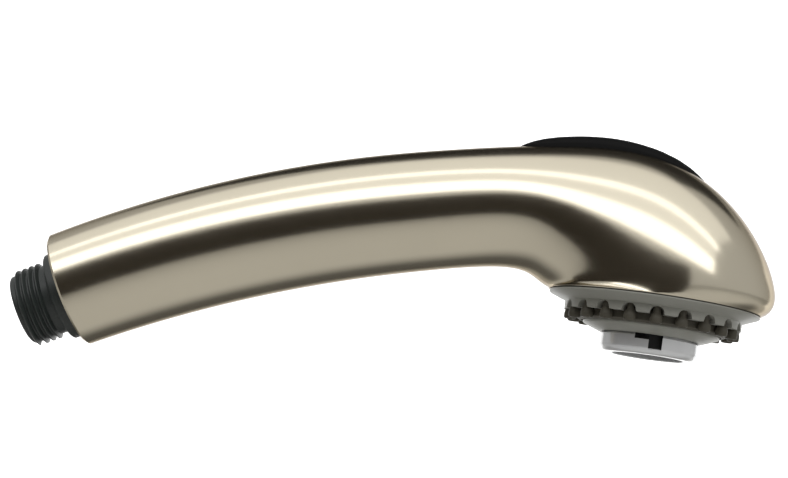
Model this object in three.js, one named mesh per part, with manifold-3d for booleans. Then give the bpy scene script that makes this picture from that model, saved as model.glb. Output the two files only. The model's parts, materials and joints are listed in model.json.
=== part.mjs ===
// Pull-out spray wand for a kitchen or pre-rinse tap: a curved metal-look casing with a threaded
// hose inlet at one end and a two-mode spray face at the other.
// Millimetres, +Z up. The origin is the centre of the inlet's end face, +X runs from the inlet
// towards the head, and the spray axis is parallel to Z.
import * as THREE from "three";
import { mergeVertices } from "three/addons/utils/BufferGeometryUtils.js";
import Module from "manifold-3d";

const wasm = await Module();
wasm.setup();

// ---------------------------------------------------------------- driving dimensions

const GAP = 0.3; // between pieces that touch
const RUNNING = 0.3; // radial clearance of a pin or a stem in its hole

const INLET = {
  angle: THREE.MathUtils.degToRad(28), // rise of its axis above the horizontal
  below: 0.9, // how far its axis lies below the middle of the casing's end
  majorR: 20.955 / 2, // G1/2 pipe thread
  minorR: 18.631 / 2,
  pitch: 1.814,
  chamfer: 1.1,
  threadLength: 9,
  neckLength: 1.4,
  flangeR: 11.7,
  flangeLength: 2.7,
  boreR: 7.4, // takes the non-return cartridge
  boreDepth: 21,
  outletR: 5.4,
  spigotWall: 1.9,
  length: 29,
};

const CASING = {
  wall: 2,
  bendR: 350, // radius of the handle's centre line
  handleArc: 111.2, // its length before the head begins
  endR: 15.35, // outer radius at the inlet end
  midR: 15.8,
  neckR: 15.35, // outer radius where the head begins
  endChamfer: 0.6,
};

// The spray axis stands beyond the end of the handle and the rim hangs below it, both in rim radii.
const HEAD = { rimR: 27.4, reach: 1.737, drop: 0.676 };

const FACE = {
  edge: 0.4, // the plate's edge inside the rim
  slopeWidth: 4.7, // its conical part
  slopeDrop: 1.7,
  wallDepth: 2.2, // the castellated wall round the nozzles
  webDepth: 3, // from the wall's top to the web the nozzles pass through
  skirtWall: 1.7,
  skirtHeight: 5.4,
};

const NOZZLES = {
  count: 20,
  phase: 0.2, // of a pitch, from the front
  inWall: 1.8, // their circle, inside the castellated wall
  r: 1.6,
  boreR: 0.55,
  tipZ: -6.6,
  bandWidth: 1.5, // the plain band inside their circle
};

const HUB = {
  bandWidth: 1.5,
  edgeZ: -7.3,
  lowZ: -9,
  ceilingZ: -2.5,
  topZ: -0.2,
  bossR: 7.2,
  bossBoreR: 5.4,
  bossTopZ: 4.8,
};

const AERATOR = {
  collarR: 12.6,
  bottomZ: -14,
  shoulderZ: -9.3,
  topZ: -4,
  neckStep: 1, // the collar's neck inside its outer face
  wall: 1.1,
  lipR: 9.2,
  lipThickness: 1.3,
  cornerR: 2,
  windows: 2,
  regulator: 1,
  screen: 0.4,
};

// Heights of the valve are from the middle of its water port.
const VALVE = {
  portBelowNeck: 3.25,
  r: 11.5,
  bottomZ: 1.3, // from the rim
  flangeThickness: 3,
  lowerSeat: -7.5,
  chamberR: 6.4,
  chamberTop: 6.3,
  portR: 3.8,
  upperChamberR: 10.2,
  top: 8.5,
  ductR: 1.2,
  ductCircleR: 8.6,
  gasket: 0.6,
  capThickness: 2.2,
  lugX: -9.5, // screw lugs, from the spray axis
  lugY: 11.6,
  lugR: 3,
};

const TUBE = {
  r: 6.5,
  boreR: 4.7,
  socketWall: 1.6,
  startW: 16,
  socketEndW: 31,
  ringX: -19,
  endX: -15,
  portSocketX: -22.5,
  play: 0.5, // radial, in the valve's socket
};

const SCREW = { shankR: 1.1, length: 8.5, headR: 2.1, headHeight: 1.5 };

const SPOOL = { stemR: 1.6, discR: 5, seal: 1, flangeR: 2.3, flangeThickness: 1 };

const CHECK = { startW: 4, endW: 20.7, seatR: 4, wall: 1.15, springR: 2.6, wireR: 0.35 };

// X is from the spray axis.
const ROCKER = {
  pivotX: -16,
  pivotBelowCrest: 7.8,
  pinR: 1.5,
  padX: -14.6, // the pad's middle
  padHalfLength: 25.2,
  padHalfWidth: 7.6,
  padThickness: 2.2,
  skirt: 1.7,
  skirtDepth: 4.6,
  edgeDrop: 1.2,
  crownR: 17, // roundness across the pad
  roundness: 2.6, // exponent of the pad's oval outline
  endPlay: 0.8,
  sidePlay: 0.5,
  leverHalf: 3.6,
  earWall: 1.6,
  forkX: 3.4,
};

// ---------------------------------------------------------------- sizes that follow

const sleeveW = INLET.threadLength + INLET.neckLength + INLET.flangeLength + GAP; // where the casing starts
const spigotR = INLET.boreR + INLET.spigotWall;
const portZ = HEAD.drop * HEAD.rimR - VALVE.portBelowNeck;
const valveTopZ = portZ + VALVE.top;
const capZ = valveTopZ + VALVE.gasket + 2 * GAP;
const capTopZ = capZ + VALVE.capThickness;
const skirtR = HEAD.rimR - CASING.wall - 2 * GAP; // of the face plate
const wallR = HEAD.rimR - FACE.slopeWidth;
const wallTopZ = -FACE.edge - GAP - FACE.slopeDrop;
const wallZ = wallTopZ - FACE.wallDepth;
const webZ = wallZ + FACE.webDepth;
const nozzleCircleR = wallR - NOZZLES.inWall;
const bandR = nozzleCircleR - NOZZLES.bandWidth;
const hubR = bandR - NOZZLES.bandWidth - GAP;
const flangeR = skirtR - FACE.skirtWall - GAP; // of the valve body and of the nozzle ring
const nozzleFlangeTopZ = VALVE.bottomZ - GAP;
const hubBoreR = AERATOR.collarR - AERATOR.neckStep + GAP;
const insertR = hubBoreR - AERATOR.wall - 2 * GAP;
const regulatorZ = AERATOR.topZ - AERATOR.regulator;
const screenZ = regulatorZ - GAP - AERATOR.screen;

// ---------------------------------------------------------------- solids

// A closed geometry as a manifold solid.
function solid(geometry) {
  const bare = geometry.clone();
  bare.deleteAttribute("normal");
  bare.deleteAttribute("uv");
  const merged = mergeVertices(bare, 1e-4);
  return new wasm.Manifold(
    new wasm.Mesh({
      numProp: 3,
      vertProperties: new Float32Array(merged.attributes.position.array),
      triVerts: new Uint32Array(merged.index.array),
    }),
  );
}

// A manifold solid back as a geometry.
function geometryOf(made) {
  const mesh = made.getMesh();
  const geometry = new THREE.BufferGeometry();
  geometry.setAttribute("position", new THREE.BufferAttribute(new Float32Array(mesh.vertProperties), 3));
  geometry.setIndex(new THREE.BufferAttribute(new Uint32Array(mesh.triVerts), 1));
  geometry.computeVertexNormals();
  return geometry;
}

const cut = (body, ...tools) => tools.reduce((left, tool) => left.subtract(tool), body);
const join = (...bodies) => bodies.reduce((all, body) => all.add(body));

// A profile of [radius, height] points turned about Z. It closes on itself unless it touches the axis.
function turned(profile, segments = 20) {
  const area = profile.reduce((sum, [r, z], i) => {
    const [nextR, nextZ] = profile[(i + 1) % profile.length];
    return sum + r * nextZ - nextR * z;
  }, 0);
  const points = (area > 0 ? profile : [...profile].reverse()).map(([r, z]) => new THREE.Vector2(r, z));
  if (profile.every(([r]) => r > 0)) points.push(points[0].clone());
  return new THREE.LatheGeometry(points, segments).rotateX(Math.PI / 2);
}

const ring = (innerR, outerR, lowZ, highZ, segments) =>
  turned([[innerR, lowZ], [outerR, lowZ], [outerR, highZ], [innerR, highZ]], segments);

const disc = (r, lowZ, highZ, segments) => turned([[0, lowZ], [r, lowZ], [r, highZ], [0, highZ]], segments);

// An O-ring: a round section turned about Z.
function oRing(circleR, sectionR, z, segments = 20, sides = 4) {
  const profile = Array.from({ length: sides }, (_, i) => {
    const a = (i / sides) * 2 * Math.PI;
    return [circleR + sectionR * Math.cos(a), z + sectionR * Math.sin(a)];
  });
  return turned(profile, segments);
}

// An outline of [x, y] points raised from lowZ to highZ.
function raised(outline, lowZ, highZ) {
  const shape = new THREE.Shape(outline.map(([x, y]) => new THREE.Vector2(x, y)));
  const walls = new THREE.ExtrudeGeometry(shape, { depth: highZ - lowZ, bevelEnabled: false });
  return walls.translate(0, 0, lowZ);
}

// An outline of [x, z] points carried across the plane of symmetry, half its width to either side.
function across(outline, half) {
  return raised(outline.map(([x, z]) => [x, -z]), -half, half).rotateX(-Math.PI / 2);
}

const block = (lowX, highX, lowY, highY, lowZ, highZ) =>
  raised([[lowX, lowY], [highX, lowY], [highX, highY], [lowX, highY]], lowZ, highZ);

// A round bar along a curve.
function bar(curve, r, steps, sides) {
  const shape = new THREE.Shape().absarc(0, 0, r, 0, 2 * Math.PI);
  const extrusion = { steps, curveSegments: sides, extrudePath: curve, bevelEnabled: false };
  return new THREE.ExtrudeGeometry(shape, extrusion);
}

// Rings of points, all of one count, skinned in order and closed at both ends.
function skinned(rings) {
  const count = rings[0].length;
  const points = rings.flat();
  const faces = [];
  for (let i = 0; i + 1 < rings.length; i++)
    for (let j = 0; j < count; j++) {
      const a = i * count + j;
      const b = i * count + ((j + 1) % count);
      faces.push(a, b, b + count, a, b + count, a + count);
    }
  const centre = (list) => list.reduce((sum, p) => sum.add(p), new THREE.Vector3()).divideScalar(count);
  const first = points.push(centre(rings[0])) - 1;
  const last = points.push(centre(rings.at(-1))) - 1;
  const lastRing = (rings.length - 1) * count;
  for (let j = 0; j < count; j++) {
    const next = (j + 1) % count;
    faces.push(first, next, j, last, lastRing + j, lastRing + next);
  }
  const geometry = new THREE.BufferGeometry().setFromPoints(points);
  geometry.setIndex(faces);
  return geometry;
}

// ---------------------------------------------------------------- placing

// A point on the inlet axis, an inward distance from the end face.
function inletPoint(w) {
  return new THREE.Vector3(Math.cos(INLET.angle), 0, Math.sin(INLET.angle)).multiplyScalar(w);
}

// The handle's centre line at an arc length from its inlet end: place, outward normal, outer radius.
function handleAt(s) {
  const heading = INLET.angle - s / CASING.bendR;
  const start = inletPoint(sleeveW);
  start.x -= INLET.below * Math.sin(INLET.angle);
  start.z += INLET.below * Math.cos(INLET.angle);
  const centre = new THREE.Vector3(
    start.x + CASING.bendR * (Math.sin(INLET.angle) - Math.sin(heading)),
    0,
    start.z + CASING.bendR * (Math.cos(heading) - Math.cos(INLET.angle)),
  );
  const up = new THREE.Vector3(-Math.sin(heading), 0, Math.cos(heading));
  const u = s / CASING.handleArc;
  const ends = THREE.MathUtils.lerp(CASING.endR, CASING.neckR, u);
  const r = ends + (CASING.midR - (CASING.endR + CASING.neckR) / 2) * 4 * u * (1 - u);
  return { centre, up, r };
}

const neck = handleAt(CASING.handleArc).centre;

const wand = new THREE.Group();
const inletEnd = new THREE.Group(); // its Z axis is the inlet axis, from the end face inwards
inletEnd.rotation.y = Math.PI / 2 - INLET.angle;
const head = new THREE.Group(); // its Z axis is the spray axis, its origin in the plane of the rim
head.position.set(neck.x + HEAD.reach * HEAD.rimR, 0, neck.z - HEAD.drop * HEAD.rimR);
wand.add(inletEnd, head);

const inletTurn = new THREE.Matrix4().makeRotationY(inletEnd.rotation.y);
const onInlet = (geometry) => geometry.applyMatrix4(inletTurn);
const inHead = (point) => point.clone().sub(head.position);

function finish(color, roughness, metalness = 0) {
  return new THREE.MeshStandardMaterial({ color, roughness, metalness });
}
const NICKEL = finish(0xb9ad9c, 0.3, 1);
const CHROME = finish(0xe6e8ea, 0.06, 1);
const STEEL = finish(0xb0b3b5, 0.35, 1);
const DARK_NYLON = finish(0x2a3130, 0.55);
const BLACK_RUBBER = finish(0x141414, 0.5);
const GREY_PLASTIC = finish(0x9b9a90, 0.45);
const TAUPE_SILICONE = finish(0x5a544b, 0.6);
const BLACK_PLASTIC = finish(0x1b1c1e, 0.4);
const WHITE_ACETAL = finish(0xe4e2da, 0.45);
const SEAL_RUBBER = finish(0x1a1a1a, 0.6);

function add(group, name, shape, material) {
  const geometry = shape.isBufferGeometry ? shape : geometryOf(shape);
  const mesh = new THREE.Mesh(geometry, material);
  mesh.name = name;
  group.add(mesh);
}

// ---------------------------------------------------------------- casing

// The head opens out of the handle as a fan of sections that turns from across the handle to level.
// Each is given by its top and low points in the plane of symmetry and its half width, all in rim
// radii from the head's origin, and by how far its widest place lies towards the low point.
const FAN = [
  [[-1.44, 1.292], [-1.458, 0.156], 0.599, 0],
  [[-1.058, 1.358], [-1.314, 0.146], 0.662, 0],
  [[-0.584, 1.398], [-1.212, 0.113], 0.731, 0],
  [[-0.164, 1.369], [-1.142, 0.077], 0.801, -0.01],
  [[0.235, 1.25], [-1.091, 0.051], 0.867, -0.04],
  [[0.58, 1], [-1.051, 0.033], 0.922, -0.08],
  [[0.854, 0.672], [-1.026, 0.022], 0.963, -0.09],
  [[1.044, 0.336], [-1.011, 0.015], 0.993, -0.07],
  [[1.102, 0.131], [-1.004, 0.011], 1.015, -0.02],
  [[1.073, 0.04], [-1, 0.007], 1.01, 0],
  [[1, 0], [-1, 0], 1, 0],
];

const section = (top, low, half, skew) => ({ top, low, half, skew });

// A round section of the handle, in the wand's frame.
function handleSection(s, r = handleAt(s).r) {
  const { centre, up } = handleAt(s);
  return section(centre.clone().addScaledVector(up, r), centre.clone().addScaledVector(up, -r), r, 0);
}

const inFan = ([x, z]) => new THREE.Vector3(x, 0, z).multiplyScalar(HEAD.rimR).add(head.position);
const stations = [
  handleSection(CASING.handleArc - 6),
  handleSection(CASING.handleArc),
  ...FAN.map(([top, low, half, skew]) => section(inFan(top), inFan(low), half * HEAD.rimR, skew)),
];
const through = (points) => new THREE.CatmullRomCurve3(points, false, "catmullrom", 0.5);
const topLine = through(stations.map(({ top }) => top));
const lowLine = through(stations.map(({ low }) => low));
const girth = through(stations.map(({ half, skew }) => new THREE.Vector3(half, skew, 0)));

function headSection(t) {
  const { x, y } = girth.getPoint(t);
  return section(topLine.getPoint(t), lowLine.getPoint(t), x, y);
}

// A section as a ring of points, shrunk by inset on every side.
function sectionRing({ top, low, half, skew }, inset = 0) {
  const count = 28;
  const middle = top.clone().add(low).multiplyScalar(0.5);
  const reach = top.clone().sub(low).multiplyScalar(0.5);
  reach.setLength(reach.length() - inset);
  return Array.from({ length: count }, (_, i) => {
    const a = (-i / count) * 2 * Math.PI;
    const wide = (half - inset) * Math.sin(a) * (1 - skew * Math.cos(a));
    return middle.clone().addScaledVector(reach, Math.cos(a)).setY(wide);
  });
}

// Rings from s along the handle and on through the head to the rim.
function casingRings(s, inset, handleSteps, perStation) {
  const rings = [];
  for (let i = 0; i <= handleSteps; i++) {
    const at = THREE.MathUtils.lerp(s, CASING.handleArc, i / handleSteps);
    rings.push(sectionRing(handleSection(at), inset));
  }
  const spans = stations.length - 1;
  for (let i = perStation + 1; i <= perStation * spans; i++)
    rings.push(sectionRing(headSection(i / perStation / spans), inset));
  return rings;
}

// The oval outline shared by the rocker pad and its opening in the casing, round the spray axis.
function ovalOutline(halfLength, halfWidth, count) {
  const bulge = (v) => Math.sign(v) * Math.abs(v) ** (2 / ROCKER.roundness);
  return Array.from({ length: count }, (_, i) => {
    const a = (i / count) * 2 * Math.PI;
    return [ROCKER.padX + halfLength * bulge(Math.cos(a)), halfWidth * bulge(Math.sin(a))];
  });
}

function casing() {
  const endRing = sectionRing(handleSection(0, CASING.endR - CASING.endChamfer));
  const outside = solid(skinned([endRing, ...casingRings(CASING.endChamfer, 0, 5, 2)]));
  const insideRings = casingRings(CASING.wall, CASING.wall, 4, 1);
  const openRing = insideRings.at(-1).map((p) => p.clone().setZ(p.z - 1));
  const inside = solid(skinned([...insideRings, openRing]));
  const inletHole = solid(onInlet(disc(spigotR + GAP, sleeveW - 5, sleeveW + 8)));
  const { padHalfLength, padHalfWidth, endPlay, sidePlay } = ROCKER;
  const outline = ovalOutline(padHalfLength + endPlay, padHalfWidth + sidePlay, 32);
  const rockerHole = raised(outline, HEAD.drop * HEAD.rimR, HEAD.rimR * 3).translate(...head.position);
  const plateSeat = disc(HEAD.rimR - CASING.wall, -1, FACE.skirtHeight + GAP, 40);
  plateSeat.translate(...head.position);
  return cut(outside, inside, inletHole, solid(rockerHole), solid(plateSeat));
}
add(wand, "body_shell", casing(), NICKEL);

// ---------------------------------------------------------------- inlet

// One thread ridge wound round the inlet, from before the end face to past the last turn.
function threadRidge() {
  const perTurn = 16;
  const turns = INLET.threadLength / INLET.pitch + 1.5;
  const rootR = INLET.minorR - 0.3;
  const crestR = INLET.majorR + 0.1;
  const foot = INLET.pitch * 0.46;
  const crest = INLET.pitch * 0.1;
  const rings = [];
  for (let i = 0; i <= Math.round(turns * perTurn); i++) {
    const a = (i / perTurn) * 2 * Math.PI;
    const w = (i / perTurn - 1) * INLET.pitch;
    const at = (r, dw) => new THREE.Vector3(r * Math.cos(a), r * Math.sin(a), w + dw);
    rings.push([at(rootR, -foot), at(rootR, foot), at(crestR, crest), at(crestR, -crest)]);
  }
  return solid(skinned(rings));
}

const nippleGroove = { w: 22, width: 2.2, depth: 1.6 };

function inletNipple() {
  const { minorR, majorR, threadLength, chamfer, boreR, boreDepth, outletR, length } = INLET;
  const neckEndW = threadLength + INLET.neckLength;
  const flangeEndW = neckEndW + INLET.flangeLength;
  const { w, width, depth } = nippleGroove;
  const core = turned([
    [0, 0],
    [minorR, 0],
    [minorR, neckEndW - 0.4],
    [INLET.flangeR - 0.4, neckEndW],
    [INLET.flangeR, neckEndW + 0.4],
    [INLET.flangeR, flangeEndW],
    [spigotR, flangeEndW],
    [spigotR, w],
    [spigotR - depth, w],
    [spigotR - depth, w + width],
    [spigotR, w + width],
    [spigotR, length],
    [0, length],
  ]);
  const envelope = turned([
    [0, 0],
    [majorR - chamfer, 0],
    [majorR, chamfer],
    [majorR, threadLength],
    [0, threadLength],
  ]);
  const bore = turned([
    [0, -1],
    [boreR, -1],
    [boreR, boreDepth],
    [outletR, boreDepth + 2],
    [outletR, length + 1],
    [0, length + 1],
  ]);
  return cut(join(solid(core), threadRidge().intersect(solid(envelope))), solid(bore));
}
add(inletEnd, "inlet_nipple", inletNipple(), DARK_NYLON);

// An O-ring that fills a groove of a depth below r, with a gap to both walls.
function grooveRing(r, depth, middle, segments = 20) {
  const thickness = depth - GAP;
  return oRing(r - depth + GAP + thickness / 2, thickness / 2, middle, segments);
}
const nippleRingW = nippleGroove.w + nippleGroove.width / 2;
add(inletEnd, "nipple_o_ring", grooveRing(spigotR, nippleGroove.depth, nippleRingW), SEAL_RUBBER);

// A disc with square holes on a grid, for strainers and flow straighteners.
function gridDisc(r, lowZ, highZ, pitch, hole, reach) {
  const holes = [];
  const n = Math.floor(reach / pitch);
  for (let i = -n; i <= n; i++)
    for (let j = -n; j <= n; j++) {
      const x = i * pitch;
      const y = j * pitch;
      if (Math.hypot(x, y) + hole / Math.SQRT2 > reach) continue;
      holes.push(solid(block(x - hole / 2, x + hole / 2, y - hole / 2, y + hole / 2, lowZ - 1, highZ + 1)));
    }
  return cut(solid(disc(r, lowZ, highZ)), ...holes);
}
const cageR = INLET.boreR - GAP;
add(inletEnd, "inlet_strainer", gridDisc(cageR, 1.6, 2.4, 2.8, 2, cageR - 0.6), STEEL);

const cageGroove = { w: 10, width: 1.6, depth: 1 };
const cageChamberR = cageR - CHECK.wall;

function checkCage() {
  const { startW, endW, seatR } = CHECK;
  const { w, width, depth } = cageGroove;
  const seatEndW = startW + 2;
  const spiderW = endW - 2.2;
  const shell = turned([
    [seatR, startW],
    [cageR, startW],
    [cageR, w],
    [cageR - depth, w],
    [cageR - depth, w + width],
    [cageR, w + width],
    [cageR, endW],
    [cageChamberR - 0.6, endW],
    [cageChamberR - 0.6, seatEndW],
    [seatR, seatEndW],
  ]);
  const guide = ring(1.5, 2.4, spiderW, endW, 12);
  const spoke = () => block(2, cageChamberR, -0.7, 0.7, spiderW, endW);
  const spokes = [0, 1, 2].map((i) => solid(spoke().rotateZ((i * 2 * Math.PI) / 3)));
  return join(solid(shell), solid(guide), ...spokes);
}
add(inletEnd, "check_valve_cage", checkCage(), WHITE_ACETAL);
const cageRingW = cageGroove.w + cageGroove.width / 2;
add(inletEnd, "cage_o_ring", grooveRing(cageR, cageGroove.depth, cageRingW), SEAL_RUBBER);

const poppetR = cageChamberR - 1.2;
const poppet = [
  [0, 4.6],
  [1.5, 4.6],
  [3.3, 5.4],
  [3.3, 6],
  [2.8, 6],
  [2.8, 7.3],
  [poppetR, 7.3],
  [poppetR, 8.5],
  [1.1, 8.8],
  [1.1, 19.6],
  [0, 19.6],
];
add(inletEnd, "check_valve_poppet", turned(poppet, 16), WHITE_ACETAL);
add(inletEnd, "poppet_seal", ring(3.1, poppetR, 6.3, 7, 16), SEAL_RUBBER);

// A helix about Z, from lowZ to highZ.
class Helix extends THREE.Curve {
  constructor(r, lowZ, highZ, turns) {
    super();
    Object.assign(this, { r, lowZ, highZ, turns });
  }
  getPoint(t, target = new THREE.Vector3()) {
    const a = t * this.turns * 2 * Math.PI;
    const z = THREE.MathUtils.lerp(this.lowZ, this.highZ, t);
    return target.set(this.r * Math.cos(a), this.r * Math.sin(a), z);
  }
}
add(inletEnd, "check_valve_spring", bar(new Helix(CHECK.springR, 9.3, 17.8, 5), CHECK.wireR, 50, 2), STEEL);

// ---------------------------------------------------------------- waterway

// From the inlet the tube bends to level at the height of the valve's port.
class TubeLine extends THREE.Curve {
  constructor(before, endX) {
    super();
    this.start = inletPoint(TUBE.socketEndW);
    this.endZ = head.position.z + portZ;
    this.bendR = (this.endZ - this.start.z) / (1 - Math.cos(INLET.angle));
    this.levelX = this.start.x + this.bendR * Math.sin(INLET.angle);
    this.before = before;
    this.bend = this.bendR * INLET.angle;
    this.length = before + this.bend + head.position.x + endX - this.levelX;
  }
  getPoint(t, target = new THREE.Vector3()) {
    const s = t * this.length - this.before;
    if (s < 0) return target.copy(inletPoint(TUBE.socketEndW + s));
    if (s > this.bend) return target.set(this.levelX + s - this.bend, 0, this.endZ);
    const heading = INLET.angle - s / this.bendR;
    const x = this.levelX - this.bendR * Math.sin(heading);
    return target.set(x, 0, this.endZ - this.bendR * (1 - Math.cos(heading)));
  }
}

// A shape about the port's axis: its Z turned to X, in the head's frame.
const atPort = (geometry) => geometry.rotateY(Math.PI / 2).translate(0, 0, portZ);
const tubeGroove = { width: 1.8, depth: 1.2 };

function waterwayTube() {
  const { r, boreR, socketWall, startW, socketEndW, ringX, endX } = TUBE;
  const outside = solid(bar(new TubeLine(1, endX), r, 10, 7));
  const bore = solid(bar(new TubeLine(1, endX + 2), boreR, 10, 5));
  const socketR = spigotR + GAP + socketWall;
  const socket = turned([
    [0, startW],
    [socketR, startW],
    [socketR, socketEndW - 1],
    [r, socketEndW + 3],
    [0, socketEndW + 3],
  ]);
  const mouth = disc(spigotR + GAP, startW - 1, INLET.length + GAP);
  const half = tubeGroove.width / 2;
  const groove = atPort(ring(r - tubeGroove.depth, r + 2, ringX - half, ringX + half, 16));
  const tube = join(outside, solid(onInlet(socket)));
  return cut(tube, bore, solid(onInlet(mouth)), solid(groove.translate(...head.position)));
}
add(wand, "waterway_tube", waterwayTube(), DARK_NYLON);
add(head, "tube_o_ring", atPort(grooveRing(TUBE.r, tubeGroove.depth, TUBE.ringX, 16)), SEAL_RUBBER);

// ---------------------------------------------------------------- diverter valve

const lowerSeatZ = portZ + VALVE.lowerSeat;
const chamberTopZ = portZ + VALVE.chamberTop;
const sides = [-1, 1];

// A screw lug with its web, on one side of the valve.
function lug(side, lowZ, highZ, innerY) {
  const { lugX, lugY, lugR } = VALVE;
  const boss = disc(lugR, lowZ, highZ, 12).translate(lugX, side * lugY, 0);
  const ends = [side * innerY, side * lugY];
  const web = block(lugX, lugX + 4, Math.min(...ends), Math.max(...ends), lowZ, highZ);
  return join(solid(boss), solid(web));
}

const screwHole = (side, lowZ, highZ) =>
  solid(disc(SCREW.shankR + GAP, lowZ, highZ, 8).translate(VALVE.lugX, side * VALVE.lugY, 0));

function valveBody() {
  const { r, bottomZ, flangeThickness, chamberR, portR, upperChamberR, ductR, ductCircleR } = VALVE;
  const flangeTopZ = bottomZ + flangeThickness;
  const column = turned([
    [0, bottomZ],
    [flangeR, bottomZ],
    [flangeR, flangeTopZ],
    [r, flangeTopZ],
    [r, valveTopZ],
    [0, valveTopZ],
  ]);
  const recessR = HUB.bossR + GAP;
  const inside = turned([
    [0, bottomZ - 1],
    [recessR, bottomZ - 1],
    [recessR, HUB.bossTopZ + GAP],
    [portR, HUB.bossTopZ + GAP],
    [portR, lowerSeatZ],
    [chamberR, lowerSeatZ],
    [chamberR, chamberTopZ],
    [upperChamberR, chamberTopZ],
    [upperChamberR, valveTopZ + 1],
    [0, valveTopZ + 1],
  ]);
  const channel = ring(recessR + 1.5, flangeR - 1.8, bottomZ - 1, bottomZ + 1.4);
  const ducts = [45, 135, 225, 315].map((degrees) => {
    const duct = disc(ductR, bottomZ - 1, chamberTopZ + 0.5, 8).translate(ductCircleR, 0, 0);
    return solid(duct.rotateZ(THREE.MathUtils.degToRad(degrees)));
  });
  const { portSocketX, endX, boreR } = TUBE;
  const socketR = TUBE.r + TUBE.play;
  const socket = solid(atPort(disc(socketR + 1.6, portSocketX, -chamberR - 1, 16)));
  const socketBore = solid(atPort(disc(socketR, portSocketX - 1, endX + GAP, 16)));
  const port = solid(atPort(disc(boreR, portSocketX - 1, 0, 12)));
  const lugs = sides.map((side) => lug(side, valveTopZ - 9, valveTopZ, r / 2));
  const pilots = sides.map((side) => screwHole(side, valveTopZ - 8, valveTopZ + 1));
  const body = join(solid(column), socket, ...lugs);
  return cut(body, solid(inside), solid(channel), socketBore, port, ...ducts, ...pilots);
}

add(head, "valve_body", valveBody(), DARK_NYLON);
const seatRing = ring(VALVE.portR, VALVE.chamberR - GAP, chamberTopZ - 1.5, chamberTopZ - 0.2, 20);
add(head, "seat_ring", seatRing, WHITE_ACETAL);
const capGasket = ring(VALVE.upperChamberR + 0.2, VALVE.r - 0.1, valveTopZ + GAP, capZ - GAP);
add(head, "cap_gasket", capGasket, SEAL_RUBBER);

// The rocker's pin lies below the casing's crest, which topLine follows from the handle to the rim.
function crestZ(x) {
  let low = 0;
  let high = 1;
  for (let i = 0; i < 24; i++) {
    const t = (low + high) / 2;
    if (inHead(topLine.getPoint(t)).x < x) low = t;
    else high = t;
  }
  return inHead(topLine.getPoint(low)).z;
}
const { pivotX } = ROCKER;
const pivotZ = crestZ(pivotX) - ROCKER.pivotBelowCrest;
const onPivot = (geometry) => geometry.rotateX(Math.PI / 2).translate(pivotX, 0, pivotZ);
const pinHole = () => solid(onPivot(disc(ROCKER.pinR + RUNNING, -20, 20, 16)));

const stemSealR = SPOOL.stemR + 2.1;

function valveCap() {
  const earIn = ROCKER.leverHalf + GAP;
  const earOut = earIn + ROCKER.earWall;
  const plate = solid(disc(VALVE.r, capZ, capTopZ));
  const arm = solid(block(pivotX - 5, pivotX + 8, -earOut - 1, earOut + 1, capZ, capTopZ));
  const lugs = sides.map((side) => lug(side, capZ, capTopZ, VALVE.r / 2));
  const cheek = [
    [pivotX - 4.5, capTopZ - 0.5],
    [pivotX + 4.5, capTopZ - 0.5],
    [pivotX + 2, pivotZ + 2.4],
    [pivotX - 2, pivotZ + 2.4],
  ];
  const ears = sides.map((side) => {
    const middle = side * (earIn + ROCKER.earWall / 2);
    return solid(across(cheek, ROCKER.earWall / 2).translate(0, middle, 0));
  });
  const stemHole = solid(disc(SPOOL.stemR + RUNNING, capZ - 1, capTopZ + 1, 16));
  const sealPocket = solid(disc(stemSealR, capZ - 1, capZ + 1.7, 16));
  const screwHoles = sides.map((side) => screwHole(side, capZ - 1, capTopZ + 1));
  return cut(join(plate, arm, ...lugs, ...ears), pinHole(), stemHole, sealPocket, ...screwHoles);
}
add(head, "valve_cap", valveCap(), DARK_NYLON);
add(head, "stem_o_ring", oRing((SPOOL.stemR + stemSealR) / 2, 0.6, capZ + 0.8, 16), SEAL_RUBBER);

// A pan-head screw with its axis on Z and its head's underside at z 0.
function screw({ shankR, length, headR, headHeight }) {
  const slot = block(-headR * 1.2, headR * 1.2, -0.25, 0.25, headHeight - 0.6, headHeight + 1);
  const body = turned(
    [
      [0, -length],
      [shankR * 0.6, -length],
      [shankR, -length + 0.8],
      [shankR, 0],
      [headR, 0],
      [headR, headHeight * 0.6],
      [headR * 0.7, headHeight],
      [0, headHeight],
    ],
    12,
  );
  return cut(solid(body), solid(slot));
}
sides.forEach((side, i) => {
  const placed = screw(SCREW).translate([VALVE.lugX, side * VALVE.lugY, capTopZ + GAP]);
  add(head, `cap_screw_${i + 1}`, placed, STEEL);
});

// Two discs on one stem, each with a flat seal on its outer side, and a flange for the lever's fork.
const lowerDiscZ = lowerSeatZ + GAP + SPOOL.seal + GAP;
const upperDiscZ = portZ + 1.6;
const flangeZ = pivotZ + 0.2;
const spoolProfile = [
  [0, lowerDiscZ - SPOOL.seal - GAP],
  [SPOOL.stemR, lowerDiscZ - SPOOL.seal - GAP],
  [SPOOL.stemR, lowerDiscZ],
  [SPOOL.discR, lowerDiscZ],
  [SPOOL.discR, lowerDiscZ + 1.4],
  [SPOOL.stemR, lowerDiscZ + 1.8],
  [SPOOL.stemR, upperDiscZ - 1.1],
  [SPOOL.discR, upperDiscZ - 0.7],
  [SPOOL.discR, upperDiscZ],
  [SPOOL.stemR, upperDiscZ],
  [SPOOL.stemR, flangeZ],
  [SPOOL.flangeR, flangeZ],
  [SPOOL.flangeR, flangeZ + SPOOL.flangeThickness],
  [SPOOL.stemR * 0.7, flangeZ + SPOOL.flangeThickness],
  [SPOOL.stemR * 0.5, flangeZ + SPOOL.flangeThickness + 0.4],
  [0, flangeZ + SPOOL.flangeThickness + 0.4],
];
add(head, "diverter_spool", turned(spoolProfile, 16), WHITE_ACETAL);
const discSeal = (lowZ) => ring(SPOOL.stemR + GAP, SPOOL.discR, lowZ, lowZ + SPOOL.seal, 16);
add(head, "spool_seal_lower", discSeal(lowerSeatZ + GAP), SEAL_RUBBER);
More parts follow.
